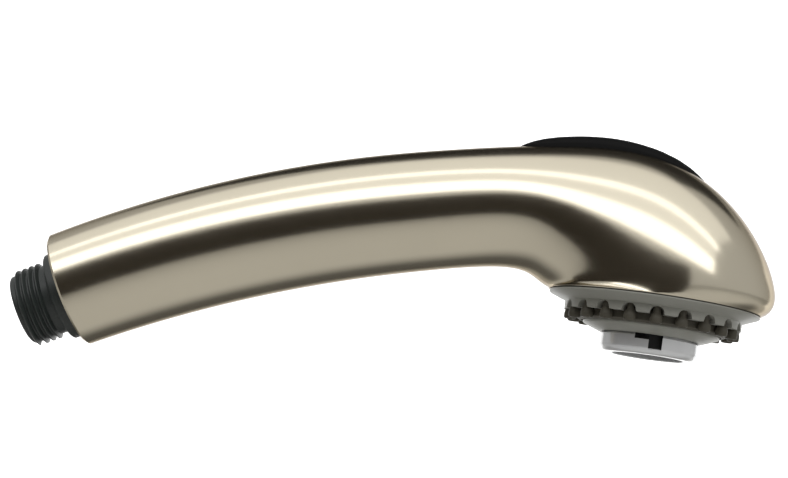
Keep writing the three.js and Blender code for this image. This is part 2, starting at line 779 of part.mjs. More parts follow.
add(head, "spool_seal_upper", discSeal(upperDiscZ + GAP), SEAL_RUBBER);

// ---------------------------------------------------------------- rocker

// How proud of the casing's crest the pad stands, at shares of its length from rear to front.
const proud = through(
  [[0, 1.2], [0.1, 1.9], [0.28, 2.4], [0.48, 2.5], [0.66, 2.1], [0.83, 1.6], [1, 0.4]].map(
    ([share, height]) => new THREE.Vector3(share, height, 0),
  ),
);
const PAD_REAR = ROCKER.padX - ROCKER.padHalfLength;
const padCrestZ = (x) => crestZ(x) + proud.getPoint((x - PAD_REAR) / ROCKER.padHalfLength / 2).y;

// The top of the pad at a place, given its share of the way from the middle to the edge.
function padTopZ(x, y, share) {
  return padCrestZ(x) - y ** 2 / 2 / ROCKER.crownR - ROCKER.edgeDrop * share ** 8;
}

// A dome over an outline, from lowZ(x) up to highZ(x, y, share of the way to the edge).
function domed(outline, lowZ, highZ) {
  const lower = outline.map(([x, y]) => new THREE.Vector3(x, y, lowZ(x)));
  const upper = [1, 0.93, 0.8, 0.55, 0.2].map((share) =>
    outline.map(([x, y]) => {
      const nearX = ROCKER.padX + (x - ROCKER.padX) * share;
      return new THREE.Vector3(nearX, y * share, highZ(nearX, y * share, share));
    }),
  );
  return solid(skinned([lower, ...upper]));
}

function rockerPad() {
  const { padHalfLength, padHalfWidth, skirt, skirtDepth, padThickness } = ROCKER;
  const skirtZ = (x) => Math.max(Math.min(crestZ(x), crestZ(pivotX)) - skirtDepth, capTopZ + 2 * GAP);
  const outer = domed(ovalOutline(padHalfLength, padHalfWidth, 32), skirtZ, padTopZ);
  const pocket = domed(
    ovalOutline(padHalfLength - skirt, padHalfWidth - skirt, 24),
    (x) => skirtZ(x) - 1,
    (x, y) => padTopZ(x, y, 0) - padThickness,
  );
  return cut(outer, pocket);
}
add(head, "rocker_pad", rockerPad(), BLACK_RUBBER);

function rockerLever() {
  const { leverHalf, padThickness, padHalfLength, skirt, forkX } = ROCKER;
  const rearX = PAD_REAR + skirt + 3.5;
  const under = (x) => padTopZ(x, leverHalf, 0) - padThickness - 2 * GAP;
  const tops = [0, 0.2, 0.4, 0.6, 0.8, 1].map((share) => {
    const x = THREE.MathUtils.lerp(rearX, forkX, share);
    return [x, under(x)];
  });
  const lobe = ROCKER.pinR + 1.2;
  const outline = [
    ...tops,
    [forkX, flangeZ - 1.6],
    [-SPOOL.flangeR - 2.2, flangeZ - 1.6],
    [-SPOOL.flangeR - 3.6, pivotZ + 3],
    [pivotX + 3.5, pivotZ + 3.8],
    [pivotX + lobe, pivotZ - lobe / 2],
    [pivotX + lobe / 2, pivotZ - lobe],
    [pivotX - lobe / 2, pivotZ - lobe],
    [pivotX - lobe, pivotZ - lobe / 2],
    [pivotX - 3.5, pivotZ + 3.8],
    [rearX, under(rearX) - 2.6],
  ];
  const stemSlotR = SPOOL.stemR + GAP;
  const collarSlotR = SPOOL.flangeR + GAP;
  const play = 0.45; // lets the flange tilt against the fork
  const stemSlot = block(-stemSlotR - 0.2, forkX + 1, -stemSlotR, stemSlotR, flangeZ - 5, flangeZ + 0.2);
  const collarTopZ = flangeZ + SPOOL.flangeThickness + 0.4 + play;
  const slotRear = -collarSlotR - 0.1;
  const collarSlot = block(slotRear, forkX + 1, -collarSlotR, collarSlotR, flangeZ - play, collarTopZ);
  return cut(solid(across(outline, leverHalf)), pinHole(), solid(stemSlot), solid(collarSlot));
}
add(head, "rocker_lever", rockerLever(), BLACK_PLASTIC);

const pinHalf = ROCKER.leverHalf + GAP + ROCKER.earWall + 0.1;
add(head, "rocker_pin", onPivot(disc(ROCKER.pinR, -pinHalf, pinHalf, 16)), STEEL);

// ---------------------------------------------------------------- spray face

const nozzleAngles = Array.from({ length: NOZZLES.count }, (_, i) => {
  return ((i + NOZZLES.phase) / NOZZLES.count) * 2 * Math.PI;
});
const roundNozzles = (make) => nozzleAngles.map((a) => solid(make().rotateZ(a)));

const faceGroove = { z: 2.6, width: 1.8, depth: 0.9 };

function facePlate() {
  const { edge, skirtWall, skirtHeight } = FACE;
  const { z, width, depth } = faceGroove;
  const plate = turned(
    [
      [HEAD.rimR - edge, -GAP],
      [HEAD.rimR - edge, -edge - GAP],
      [wallR, wallTopZ],
      [wallR, wallZ],
      [bandR + GAP, wallZ],
      [bandR + GAP, webZ],
      [skirtR - skirtWall, webZ],
      [skirtR - skirtWall, skirtHeight],
      [skirtR, skirtHeight],
      [skirtR, z + width],
      [skirtR - depth, z + width],
      [skirtR - depth, z],
      [skirtR, z],
      [skirtR, -GAP],
    ],
    40,
  );
  const holeR = NOZZLES.r + 0.25;
  const holes = roundNozzles(() => disc(holeR, wallZ - 2, webZ + 2, 8).translate(nozzleCircleR, 0, 0));
  const archAxis = (geometry) => geometry.rotateY(Math.PI / 2).translate(0, 0, wallZ);
  const arches = roundNozzles(() => archAxis(disc(holeR, nozzleCircleR, wallR + 2, 8)));
  return cut(solid(plate), ...holes, ...arches);
}
add(head, "face_plate", facePlate(), GREY_PLASTIC);
const faceRingZ = faceGroove.z + faceGroove.width / 2;
add(head, "face_o_ring", grooveRing(skirtR + GAP, faceGroove.depth + GAP, faceRingZ, 40), SEAL_RUBBER);

function nozzleRing() {
  const { r, boreR, tipZ, count } = NOZZLES;
  const flangeZ = webZ + GAP;
  const band = turned(
    [
      [hubR + GAP, nozzleFlangeTopZ],
      [hubR + GAP, HUB.edgeZ + 0.3],
      [bandR, HUB.edgeZ + 0.9],
      [bandR, flangeZ],
      [flangeR, flangeZ],
      [flangeR, nozzleFlangeTopZ],
    ],
    2 * count,
  );
  const tip = [
    [0, tipZ],
    [r, tipZ],
    [r, flangeZ + 0.5],
    [0, flangeZ + 0.5],
  ];
  const tips = roundNozzles(() => turned(tip, 8).translate(nozzleCircleR, 0, 0));
  const bore = () => disc(boreR, tipZ - 1, nozzleFlangeTopZ + 1, 4);
  const bores = roundNozzles(() => bore().translate(nozzleCircleR, 0, 0));
  return cut(join(solid(band), ...tips), ...bores);
}
add(head, "nozzle_ring", nozzleRing(), TAUPE_SILICONE);

const hubGroove = { z: 1.8, width: 1.7, depth: 1 };

function sprayHub() {
  const { edgeZ, lowZ, ceilingZ, topZ, bossR, bossBoreR, bossTopZ } = HUB;
  const { z, width, depth } = hubGroove;
  return turned(
    [
      [AERATOR.collarR + 0.6, lowZ],
      [hubR - 0.3, edgeZ - 0.1],
      [hubR, edgeZ + 0.2],
      [hubR, topZ],
      [bossR, topZ],
      [bossR, z],
      [bossR - depth, z],
      [bossR - depth, z + width],
      [bossR, z + width],
      [bossR, bossTopZ],
      [bossBoreR, bossTopZ],
      [bossBoreR, ceilingZ],
      [hubBoreR, ceilingZ],
      [hubBoreR, lowZ],
    ],
    24,
  );
}
add(head, "spray_hub", sprayHub(), GREY_PLASTIC);
const hubRingZ = hubGroove.z + hubGroove.width / 2;
add(head, "hub_o_ring", grooveRing(HUB.bossR, hubGroove.depth, hubRingZ), SEAL_RUBBER);

// ---------------------------------------------------------------- aerator

function aeratorCollar() {
  const { collarR, bottomZ, shoulderZ, topZ, wall, lipR, lipThickness, cornerR, windows } = AERATOR;
  const neckR = hubBoreR - GAP;
  const boreR = neckR - wall;
  const corner = [0, 30, 60, 90].map((degrees) => {
    const a = THREE.MathUtils.degToRad(degrees);
    return [collarR - cornerR + cornerR * Math.sin(a), bottomZ + cornerR - cornerR * Math.cos(a)];
  });
  const body = turned(
    [
      [lipR, bottomZ],
      ...corner,
      [collarR, shoulderZ - 0.2],
      [collarR - 0.2, shoulderZ],
      [neckR, shoulderZ],
      [neckR, topZ],
      [boreR, topZ],
      [boreR, bottomZ + lipThickness],
      [lipR, bottomZ + lipThickness],
    ],
    24,
  );
  // Each air window is a square notch with a shallow step beside it, under the hub.
  const half = 3.5;
  const square = 3.4;
  const wayIn = boreR - 1;
  const wayOut = collarR + 1;
  const airWindow = () => [
    block(wayIn, wayOut, -half, half, shoulderZ - 1.1, shoulderZ + 0.6),
    block(wayIn, wayOut, half - square, half, shoulderZ - 3.5, shoulderZ + 0.6),
  ];
  const cuts = Array.from({ length: windows }, (_, i) =>
    airWindow().map((box) => solid(box.rotateZ(-Math.PI / 2 + (i / windows) * 2 * Math.PI))),
  );
  return cut(solid(body), ...cuts.flat());
}
add(head, "aerator_collar", aeratorCollar(), CHROME);

function aeratorInsert() {
  const lowZ = AERATOR.bottomZ + AERATOR.lipThickness + GAP;
  const wall = solid(ring(insertR - 1.3, insertR, lowZ, screenZ - GAP));
  return join(wall, gridDisc(insertR - 0.5, lowZ, lowZ + 2.4, 3.4, 2.7, insertR - 1));
}
add(head, "aerator_insert", aeratorInsert(), BLACK_PLASTIC);
const aeratorScreen = gridDisc(insertR, screenZ, screenZ + AERATOR.screen, 3.4, 2.4, insertR - 1.4);
add(head, "aerator_screen", aeratorScreen, STEEL);

function flowRegulator() {
  const holes = [0, 1, 2, 3, 4, 5].map((i) => {
    const hole = disc(0.9, regulatorZ - 1, AERATOR.topZ + 1, 6).translate(5.2, 0, 0);
    return solid(hole.rotateZ((i * Math.PI) / 3));
  });
  return cut(solid(disc(insertR, regulatorZ, AERATOR.topZ)), ...holes);
}
add(head, "flow_regulator", flowRegulator(), WHITE_ACETAL);
add(head, "aerator_washer", ring(7, hubBoreR - GAP, AERATOR.topZ + GAP, HUB.ceilingZ - GAP), SEAL_RUBBER);

export default wand;
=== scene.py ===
"""The finished look of a pull-out spray wand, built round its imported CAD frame, and a studio for it."""

import json
import math

import bpy
import numpy
from bpy.props import FloatProperty, FloatVectorProperty, IntProperty, PointerProperty
from mathutils import Matrix, Vector


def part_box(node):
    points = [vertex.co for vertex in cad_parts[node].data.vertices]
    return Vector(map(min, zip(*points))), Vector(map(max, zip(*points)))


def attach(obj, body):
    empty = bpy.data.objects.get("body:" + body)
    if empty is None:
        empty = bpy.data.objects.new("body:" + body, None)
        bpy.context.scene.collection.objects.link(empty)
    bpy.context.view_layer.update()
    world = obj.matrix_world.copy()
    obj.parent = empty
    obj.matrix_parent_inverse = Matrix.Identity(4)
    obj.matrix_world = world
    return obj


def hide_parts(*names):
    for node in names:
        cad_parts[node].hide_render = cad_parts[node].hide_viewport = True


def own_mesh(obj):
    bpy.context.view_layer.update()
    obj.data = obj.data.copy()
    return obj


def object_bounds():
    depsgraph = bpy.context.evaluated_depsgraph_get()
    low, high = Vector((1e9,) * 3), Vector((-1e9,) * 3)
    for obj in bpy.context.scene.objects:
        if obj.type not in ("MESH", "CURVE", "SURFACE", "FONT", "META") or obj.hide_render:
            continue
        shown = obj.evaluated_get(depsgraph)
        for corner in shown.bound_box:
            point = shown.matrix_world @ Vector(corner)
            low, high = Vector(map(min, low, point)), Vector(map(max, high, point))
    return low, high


bl_info = {
    "name": "Spray Wand",
    "version": (1, 0, 0),
    "blender": (4, 5, 0),
    "location": "3D View > Sidebar > Wand",
    "description": "Builds a pull-out spray wand and a studio round it",
    "category": "Add Mesh",
}

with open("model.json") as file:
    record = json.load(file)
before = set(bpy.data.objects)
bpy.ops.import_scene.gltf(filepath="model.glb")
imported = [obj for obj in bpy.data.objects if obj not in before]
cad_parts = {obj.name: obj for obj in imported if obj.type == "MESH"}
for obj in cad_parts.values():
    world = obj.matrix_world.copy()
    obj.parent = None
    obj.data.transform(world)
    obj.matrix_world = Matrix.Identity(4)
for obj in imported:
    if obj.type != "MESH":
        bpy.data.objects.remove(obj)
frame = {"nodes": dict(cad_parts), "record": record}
CAD_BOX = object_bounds()
MM = 0.001


# ---------------------------------------------------------------- places taken from the frame


def middle(node):
    """The middle of a node's box."""
    low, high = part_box(node)
    return (low + high) / 2


SPRAY_AXIS = Vector((middle("aerator_collar").x, 0, 0))
PLATE_LOW, PLATE_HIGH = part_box("face_plate")
COLLAR_LOW, COLLAR_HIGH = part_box("aerator_collar")
NOZZLE_LOW, NOZZLE_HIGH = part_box("nozzle_ring")
HUB_LOW, HUB_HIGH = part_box("spray_hub")
PAD_LOW, PAD_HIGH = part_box("rocker_pad")
INLET_RISE = math.radians(28)
PLATE_SKIRT = 5.4 * MM  # height of the face plate's skirt over the rim
RIM_Z = PLATE_HIGH.z - PLATE_SKIRT
SKIRT_R = 24.8 * MM
SPIGOT_R = 9.3 * MM  # of the inlet, inside the casing
SKIN = 0.02 * MM  # how far a finished face lies inside its CAD box


def millimetres(name, default, description, **more):
    return FloatProperty(
        name=name, description=description, default=default * MM, unit="LENGTH", precision=5, **more
    )


def tint(name, default, description):
    return FloatVectorProperty(
        name=name, description=description, default=default, subtype="COLOR", size=3, min=0, max=1
    )


class WandCasingSizes(bpy.types.PropertyGroup):
    wall: millimetres("Wall", 2, "Thickness of the casing")
    clearance: millimetres("Clearance", 0.06, "How far the smooth skin lies inside the CAD outline")
    start: millimetres("Start", 13.4, "Distance from the inlet's end face to the casing")
    offset: millimetres("Offset", 0.9, "How far the handle's middle lies above the inlet axis")
    bend: millimetres("Bend", 350, "Radius of the handle's centre line")
    arc: millimetres("Arc", 111.2, "Length of the handle before the head begins")
    end: millimetres("End", 15.35, "Outer radius at both ends of the handle")
    swell: millimetres("Swell", 0.45, "How much fuller the handle is half way along")
    chamfer: millimetres("Chamfer", 0.6, "Chamfer of the inlet end")
    rim: millimetres("Rim", 27.4, "Outer radius of the rim")
    give: millimetres("Give", 9, "How freely the head's sections give way to smooth it")
    sides: IntProperty(name="Sides", description="Points round each section", default=112, min=12)
    color: tint("Colour", (0.70, 0.64, 0.515), "Warm satin nickel")


class WandInletSizes(bpy.types.PropertyGroup):
    major: millimetres("Major", 10.3, "Radius over the thread's crests")
    minor: millimetres("Minor", 9.3, "Radius at the thread's roots")
    pitch: millimetres("Pitch", 1.814, "Pitch of the thread")
    threaded: millimetres("Threaded", 9, "Length of the thread")
    neck: millimetres("Neck", 1.4, "Plain length between thread and flange")
    flange: millimetres("Flange", 11.65, "Radius of the flange")
    flange_depth: millimetres("Flange depth", 2.7, "Thickness of the flange")
    bore: millimetres("Bore", 7.42, "Radius of the bore")
    color: tint("Colour", (0.030, 0.036, 0.034), "Dark grey-green nylon")


class WandRockerSizes(bpy.types.PropertyGroup):
    skirt: millimetres("Skirt", 1.7, "Thickness of the pad's skirt")
    roundness: FloatProperty(name="Roundness", description="Power of the oval outline", default=2.6)
    crown: millimetres("Crown", 17, "Radius across the pad")
    edge: millimetres("Edge", 1.2, "How far the pad rolls down at its edge")
    color: tint("Colour", (0.005, 0.005, 0.005), "Satin black rubber")


class WandFaceSizes(bpy.types.PropertyGroup):
    nozzles: IntProperty(name="Nozzles", description="How many nozzles stand in the ring", default=20)
    phase: FloatProperty(name="Phase", description="Share of a pitch from the front", default=0.2)
    circle: millimetres("Circle", 20.9, "Radius of the nozzles' circle")
    nozzle: millimetres("Nozzle", 1.6, "Radius of a nozzle")
    hole: millimetres("Hole", 0.55, "Radius of a nozzle's hole")
    wall: millimetres("Wall", 22.7, "Outer radius of the scalloped wall")
    plate_color: tint("Plate", (0.33, 0.33, 0.295), "Grey satin moulding")
    nozzle_color: tint("Nozzles", (0.085, 0.078, 0.060), "Soft matt taupe")


class WandAeratorSizes(bpy.types.PropertyGroup):
    collar: millimetres("Collar", 12.55, "Outer radius of the collar")
    lip: millimetres("Lip", 9.2, "Radius of the collar's mouth")
    corner: millimetres("Corner", 2, "Rounding of the collar's lower edge")
    shoulder: millimetres("Shoulder", 4.7, "Height of the shoulder over the lower edge")
    wires: IntProperty(name="Wires", description="Wires each way in the outlet screen", default=13)
    chrome: tint("Chrome", (0.86, 0.87, 0.89), "Bright chrome")


class WandStudioSizes(bpy.types.PropertyGroup):
    floor_drop: FloatProperty(
        name="Floor", description="Depth of the floor under the wand", default=0.38, unit="LENGTH"
    )
    distance: FloatProperty(name="Distance", description="Camera to wand", default=0.62, unit="LENGTH")
    lens: FloatProperty(name="Lens", description="Focal length in millimetres", default=108.94)
    world: tint("World", (0.52, 0.52, 0.51), "Soft light from all round")


# ---------------------------------------------------------------- node trees


class Value:
    """A socket in a node tree. Sums on it add Math nodes."""

    def __init__(self, nodes, socket):
        self.nodes = nodes
        self.socket = socket

    def sum(self, operation, *values):
        inputs = dict(enumerate(values))
        return self.nodes.make("ShaderNodeMath", {"operation": operation}, inputs)

    def __add__(self, other):
        return self.sum("ADD", self, other)

    def __radd__(self, other):
        return self.sum("ADD", other, self)

    def __sub__(self, other):
        return self.sum("SUBTRACT", self, other)

    def __rsub__(self, other):
        return self.sum("SUBTRACT", other, self)

    def __mul__(self, other):
        return self.sum("MULTIPLY", self, other)

    def __rmul__(self, other):
        return self.sum("MULTIPLY", other, self)

    def between(self, low, high):
        """0 below low, 1 above high and smooth in between."""
        settings = {"interpolation_type": "SMOOTHSTEP"}
        return self.nodes.make("ShaderNodeMapRange", settings, {0: self, 1: low, 2: high})


class Nodes:
    """Adds nodes to one shader or geometry tree."""

    def __init__(self, tree):
        self.tree = tree

    def make(self, kind, settings=None, inputs=None, output=0):
        node = self.tree.nodes.new(kind)
        for name, value in (settings or {}).items():
            if name == "stops":
                self.set_stops(node.color_ramp, value)
            else:
                setattr(node, name, value)
        for key, value in (inputs or {}).items():
            self.fill(node.inputs[key], value)
        return Value(self, node.outputs[output])

    def fill(self, socket, value):
        if isinstance(value, Value):
            self.tree.links.new(value.socket, socket)
        else:
            socket.default_value = value

    def set_stops(self, ramp, stops):
        while len(ramp.elements) < len(stops):
            ramp.elements.new(0.5)
        for element, (place, shade) in zip(ramp.elements, stops):
            element.position = place
            element.color = (*shade, 1)

    def noise(self, place, scale, detail=3, roughness=0.5):
        inputs = {"Vector": place, "Scale": scale, "Detail": detail, "Roughness": roughness}
        return self.make("ShaderNodeTexNoise", {}, inputs)

    def place(self, stretch=(1, 1, 1), turn=(0, 0, 0)):
        """Object coordinates, stretched or turned."""
        at = self.make("ShaderNodeTexCoord", output="Object")
        inputs = {"Vector": at, "Scale": stretch, "Rotation": turn}
        return self.make("ShaderNodeMapping", {}, inputs)

    def mix(self, share, first, second):
        inputs = {0: share, 6: self.colour(first), 7: self.colour(second)}
        return self.make("ShaderNodeMix", {"data_type": "RGBA"}, inputs, output=2)

    def colour(self, value):
        return value if isinstance(value, Value) else (*value, 1)

    def bump(self, height, depth, strength=1.0):
        inputs = {"Height": height, "Distance": depth, "Strength": strength}
        return self.make("ShaderNodeBump", {}, inputs)


def shaded(color, share):
    """A colour made lighter or darker by a share."""
    return tuple(min(1, part * share) for part in color)


def surface(name, color, roughness, normal=None, **constants):
    """A new material whose look comes from the functions given, called with its node adder."""
    material = bpy.data.materials.new(name)
    material.use_nodes = True
    tree = material.node_tree
    nodes = Nodes(tree)
    shader = tree.nodes["Principled BSDF"]
    for socket, value in constants.items():
        shader.inputs[socket.replace("_", " ")].default_value = value
    nodes.fill(shader.inputs["Base Color"], color(nodes))
    nodes.fill(shader.inputs["Roughness"], roughness(nodes))
    if normal:
        nodes.fill(shader.inputs["Normal"], normal(nodes))
    return material


# ---------------------------------------------------------------- finishes


def satin_nickel(color):
    """Plated metal with the faint lengthwise grain of buffing under it."""
    grain = (30, 700, 700)

    def roughness(n):
        cloud = n.noise(n.place(), 38, 4)
        line = n.noise(n.place(grain), 1.0, 2)
        return 0.13 + cloud * 0.05 + line * 0.05

    return surface(
        "satin_nickel",
        lambda n: n.mix(n.noise(n.place(), 26, 4).between(0.3, 0.7), shaded(color, 0.965), color),
        roughness,
        lambda n: n.bump(n.noise(n.place(grain), 1.0, 2), 4e-6, 0.35),
        Metallic=1.0,
        Specular_Tint=(0.42, 0.39, 0.36, 1),
    )


def bright_chrome(color):
    """The pale, slightly milky plating of a moulded part."""
    return surface(
        "bright_chrome",
        lambda n: n.mix(n.noise(n.place(), 90, 3), shaded(color, 0.95), color),
        lambda n: 0.1 + n.noise(n.place(), 240, 5, 0.65) * 0.06,
        lambda n: n.bump(n.noise(n.place(), 420, 2), 2e-6, 0.3),
        Metallic=0.3,
    )


def plain_steel(color):
    turned_marks = (180, 180, 2200)
    return surface(
        "plain_steel",
        lambda n: n.mix(n.noise(n.place(), 160, 3), shaded(color, 0.88), color),
        lambda n: 0.26 + n.noise(n.place(turned_marks), 1.0, 2) * 0.14,
        lambda n: n.bump(n.noise(n.place(turned_marks), 1.0, 2), 8e-6, 0.4),
        Metallic=1.0,
    )


def moulded(name, color, roughness, grain=900, depth=1.2e-5, mottle=0.12, **constants):
    """A moulding with a fine spark-eroded texture and a faint flow mottle."""
    return surface(
        name,
        lambda n: n.mix(
            n.noise(n.place(), 150, 5, 0.6), shaded(color, 1 - mottle), shaded(color, 1 + mottle)
        ),
        lambda n: roughness - 0.06 + n.noise(n.place(), grain * 0.3, 4) * 0.12,
        lambda n: n.bump(n.noise(n.place(), grain * 3, 2), depth, 0.5),
        **constants,
    )


def soft_rubber(name, color, roughness, shine=0.25):
    return moulded(name, color, roughness, 1400, 2e-5, 0.18, Specular_IOR_Level=shine)


FINISHES = {}


def make_finishes(scene):
    """One material for each slot of the record, by the slot's name."""
    casing, inlet, rocker = scene.wand_casing, scene.wand_inlet, scene.wand_rocker
    face, aerator = scene.wand_face, scene.wand_aerator
    FINISHES.update(
        nickel=satin_nickel(casing.color),
        chrome=bright_chrome(aerator.chrome),
        steel=plain_steel((0.55, 0.56, 0.57)),
        dark_nylon=moulded("dark_nylon", inlet.color, 0.42),
        black_rubber=soft_rubber("satin_black_rubber", rocker.color, 0.5, 0.06),
        grey_plastic=moulded("grey_moulding", face.plate_color, 0.36, 700, 8e-6, 0.05),
        taupe_silicone=soft_rubber("taupe_silicone", face.nozzle_color, 0.5),
        black_plastic=moulded("black_moulding", (0.014, 0.014, 0.016), 0.36),
        white_acetal=moulded("white_acetal", (0.74, 0.73, 0.69), 0.34, 800, 6e-6, 0.04),
        seal_rubber=soft_rubber("seal_rubber", (0.016, 0.016, 0.016), 0.6),
    )


def use_finish(piece, slot):
    piece.data.materials.clear()
    piece.data.materials.append(FINISHES[slot])


# ---------------------------------------------------------------- meshes


def piece_from(name, points, faces, sharp=35):
    """A smooth-shaded piece with sharp edges wherever it turns by more than an angle."""
    mesh = bpy.data.meshes.new(name)
    mesh.from_pydata([tuple(p) for p in points], [], faces)
    mesh.validate()
    mesh.shade_smooth()
    mesh.set_sharp_from_angle(angle=math.radians(sharp))
    piece = bpy.data.objects.new(name, mesh)
    bpy.context.collection.objects.link(piece)
    return piece


def settled(piece, name, sharp=35):
    """The piece with its modifiers worked into a plain mesh of the same name."""
    ready = piece.evaluated_get(bpy.context.evaluated_depsgraph_get())
    mesh = bpy.data.meshes.new_from_object(ready)
    mesh.name = name
    mesh.shade_smooth()
    mesh.set_sharp_from_angle(angle=math.radians(sharp))
    made = bpy.data.objects.new(name, mesh)
    bpy.context.collection.objects.link(made)
    bpy.data.objects.remove(piece)
    return made


def skin(rings, closed=False, capped=False):
    """Points and faces of rings skinned in order; closed joins the last ring to the first."""
    count = len(rings[0])
    points = [p for ring in rings for p in ring]
    faces = []
    for i in range(len(rings) - (0 if closed else 1)):
        low = i * count
        high = (i + 1) % len(rings) * count
        for j in range(count):
            k = (j + 1) % count
            faces.append((low + j, low + k, high + k, high + j))
    if capped:
        faces.append(tuple(reversed(range(count))))
        faces.append(tuple((len(rings) - 1) * count + j for j in range(count)))
    return points, faces


def turned(profile, segments=96, place=Matrix()):
    """Rings of a closed [radius, height] profile turned about Z, then put in place."""
    rings = []
    for radius, height in profile:
        angles = [2 * math.pi * j / segments for j in range(segments)]
        ring = [Vector((radius * math.cos(a), radius * math.sin(a), height)) for a in angles]
        rings.append([place @ p for p in ring])
    return rings


def rounded(profile, radius, steps=4):
    """A closed profile of [radius, height] points with its corners rounded."""
    made = []
    count = len(profile)
    for i, corner in enumerate(profile):
        here = Vector(corner)
        back = Vector(profile[i - 1]) - here
        ahead = Vector(profile[(i + 1) % count]) - here
        reach = min(radius, back.length * 0.45, ahead.length * 0.45)
        first = here + back.normalized() * reach
        last = here + ahead.normalized() * reach
        for step in range(steps + 1):
            t = step / steps
            point = first * (1 - t) ** 2 + here * 2 * t * (1 - t) + last * t**2
            made.append((point.x, point.y))
    return made


def lathe_piece(name, profile, radius=0.0002, segments=96, place=Matrix(), sharp=35):
    """A turned piece. The profile runs anticlockwise with the radius across and the height up."""
    points, faces = skin(turned(rounded(profile, radius), segments, place), closed=True)
    return piece_from(name, points, faces, sharp)


def carve(piece, name, *cutters, sharp=35):
    """The piece with the cutters taken out of it."""
    for cutter in cutters:
        boolean = piece.modifiers.new("carve", "BOOLEAN")
        boolean.operation = "DIFFERENCE"
        boolean.solver = "EXACT"
        boolean.object = cutter
    made = settled(piece, name, sharp)
    for cutter in cutters:
        bpy.data.objects.remove(cutter)
    return made


def prism(outline, low, high):
    """A cutter: an [x, y] outline raised from low to high."""
    rings = [[Vector((x, y, z)) for x, y in outline] for z in (low, high)]
    points, faces = skin(rings, capped=True)
    return piece_from("cutter", points, faces)


def on_axis(drop=0.0):
    """Moves a turned piece onto the spray axis."""
    return Matrix.Translation(SPRAY_AXIS + Vector((0, 0, drop)))


def along_inlet():
    """Turns Z to the inlet axis, from its end face inwards."""
    return Matrix.Rotation(math.pi / 2 - INLET_RISE, 4, "Y")


class EvenLine:
    """A curve that bends evenly past points, each at its own place along it.

    A point with a large hold stays where it is; the rest give way a little to smooth the curve.
    """

    def __init__(self, places, points, holds, give):
        self.places = numpy.array(places, float)
        points = numpy.array(points, float)
        gaps = numpy.diff(self.places)
        count = len(places)
        turns = numpy.zeros((count, count - 2))
        spread = numpy.zeros((count - 2, count - 2))
        for i in range(count - 2):
            before, after = 1 / gaps[i], 1 / gaps[i + 1]
            turns[i : i + 3, i] = before, -before - after, after
            spread[i, i] = (gaps[i] + gaps[i + 1]) / 3
            if i:
                spread[i, i - 1] = spread[i - 1, i] = gaps[i] / 6
        stiff = turns @ numpy.linalg.solve(spread, turns.T) * give**3
        weight = numpy.diag(holds)
        self.points = numpy.linalg.solve(weight + stiff, weight @ points)
        self.bends = numpy.zeros_like(points)
        self.bends[1:-1] = numpy.linalg.solve(spread, turns.T @ self.points)

    def at(self, place):
        i = int(numpy.clip(numpy.searchsorted(self.places, place) - 1, 0, len(self.places) - 2))
        gap = self.places[i + 1] - self.places[i]
        back, on = (self.places[i + 1] - place) / gap, (place - self.places[i]) / gap
        value = self.points[i] * back + self.points[i + 1] * on
        value += (
            (back**3 - back) * self.bends[i] + (on**3 - on) * self.bends[i + 1]
        ) * gap**2 / 6
        return Vector(value)


# ---------------------------------------------------------------- shape of the casing

# The head fans out from the handle in sections that turn from across it to level. Each has its
# top and low points and its half width, in rim radii from the middle of the rim, and how far its
# widest place lies towards the low point.
FAN = [
    [(-1.44, 1.292), (-1.458, 0.156), 0.609, 0],
    [(-1.058, 1.358), (-1.314, 0.146), 0.683, 0],
    [(-0.584, 1.398), (-1.212, 0.113), 0.764, 0],
    [(-0.164, 1.369), (-1.142, 0.077), 0.837, -0.013],
    [(0.235, 1.25), (-1.091, 0.051), 0.903, -0.035],
    [(0.58, 1), (-1.051, 0.033), 0.958, -0.059],
    [(0.854, 0.672), (-1.026, 0.022), 0.995, -0.065],
    [(1.044, 0.336), (-1.011, 0.015), 1.008, -0.061],
    [(1.102, 0.131), (-1.004, 0.011), 1.002, -0.05],
    [(1.073, 0.04), (-1, 0.007), 0.999, -0.018],
    [(1, 0), (-1, 0), 1, 0],
]


# The smoothing takes in the end of the handle: stations at these lengths back from its end. The
# head's own rings start at the neck station.
HANDLE_STATIONS = (44 * MM, 36 * MM, 28 * MM, 20 * MM, 12 * MM)
NECK_STATION = 3
FIRM = 1000
LIP_HOLDS = (20, 60, 200, FIRM)  # the sections get firmer towards the rim


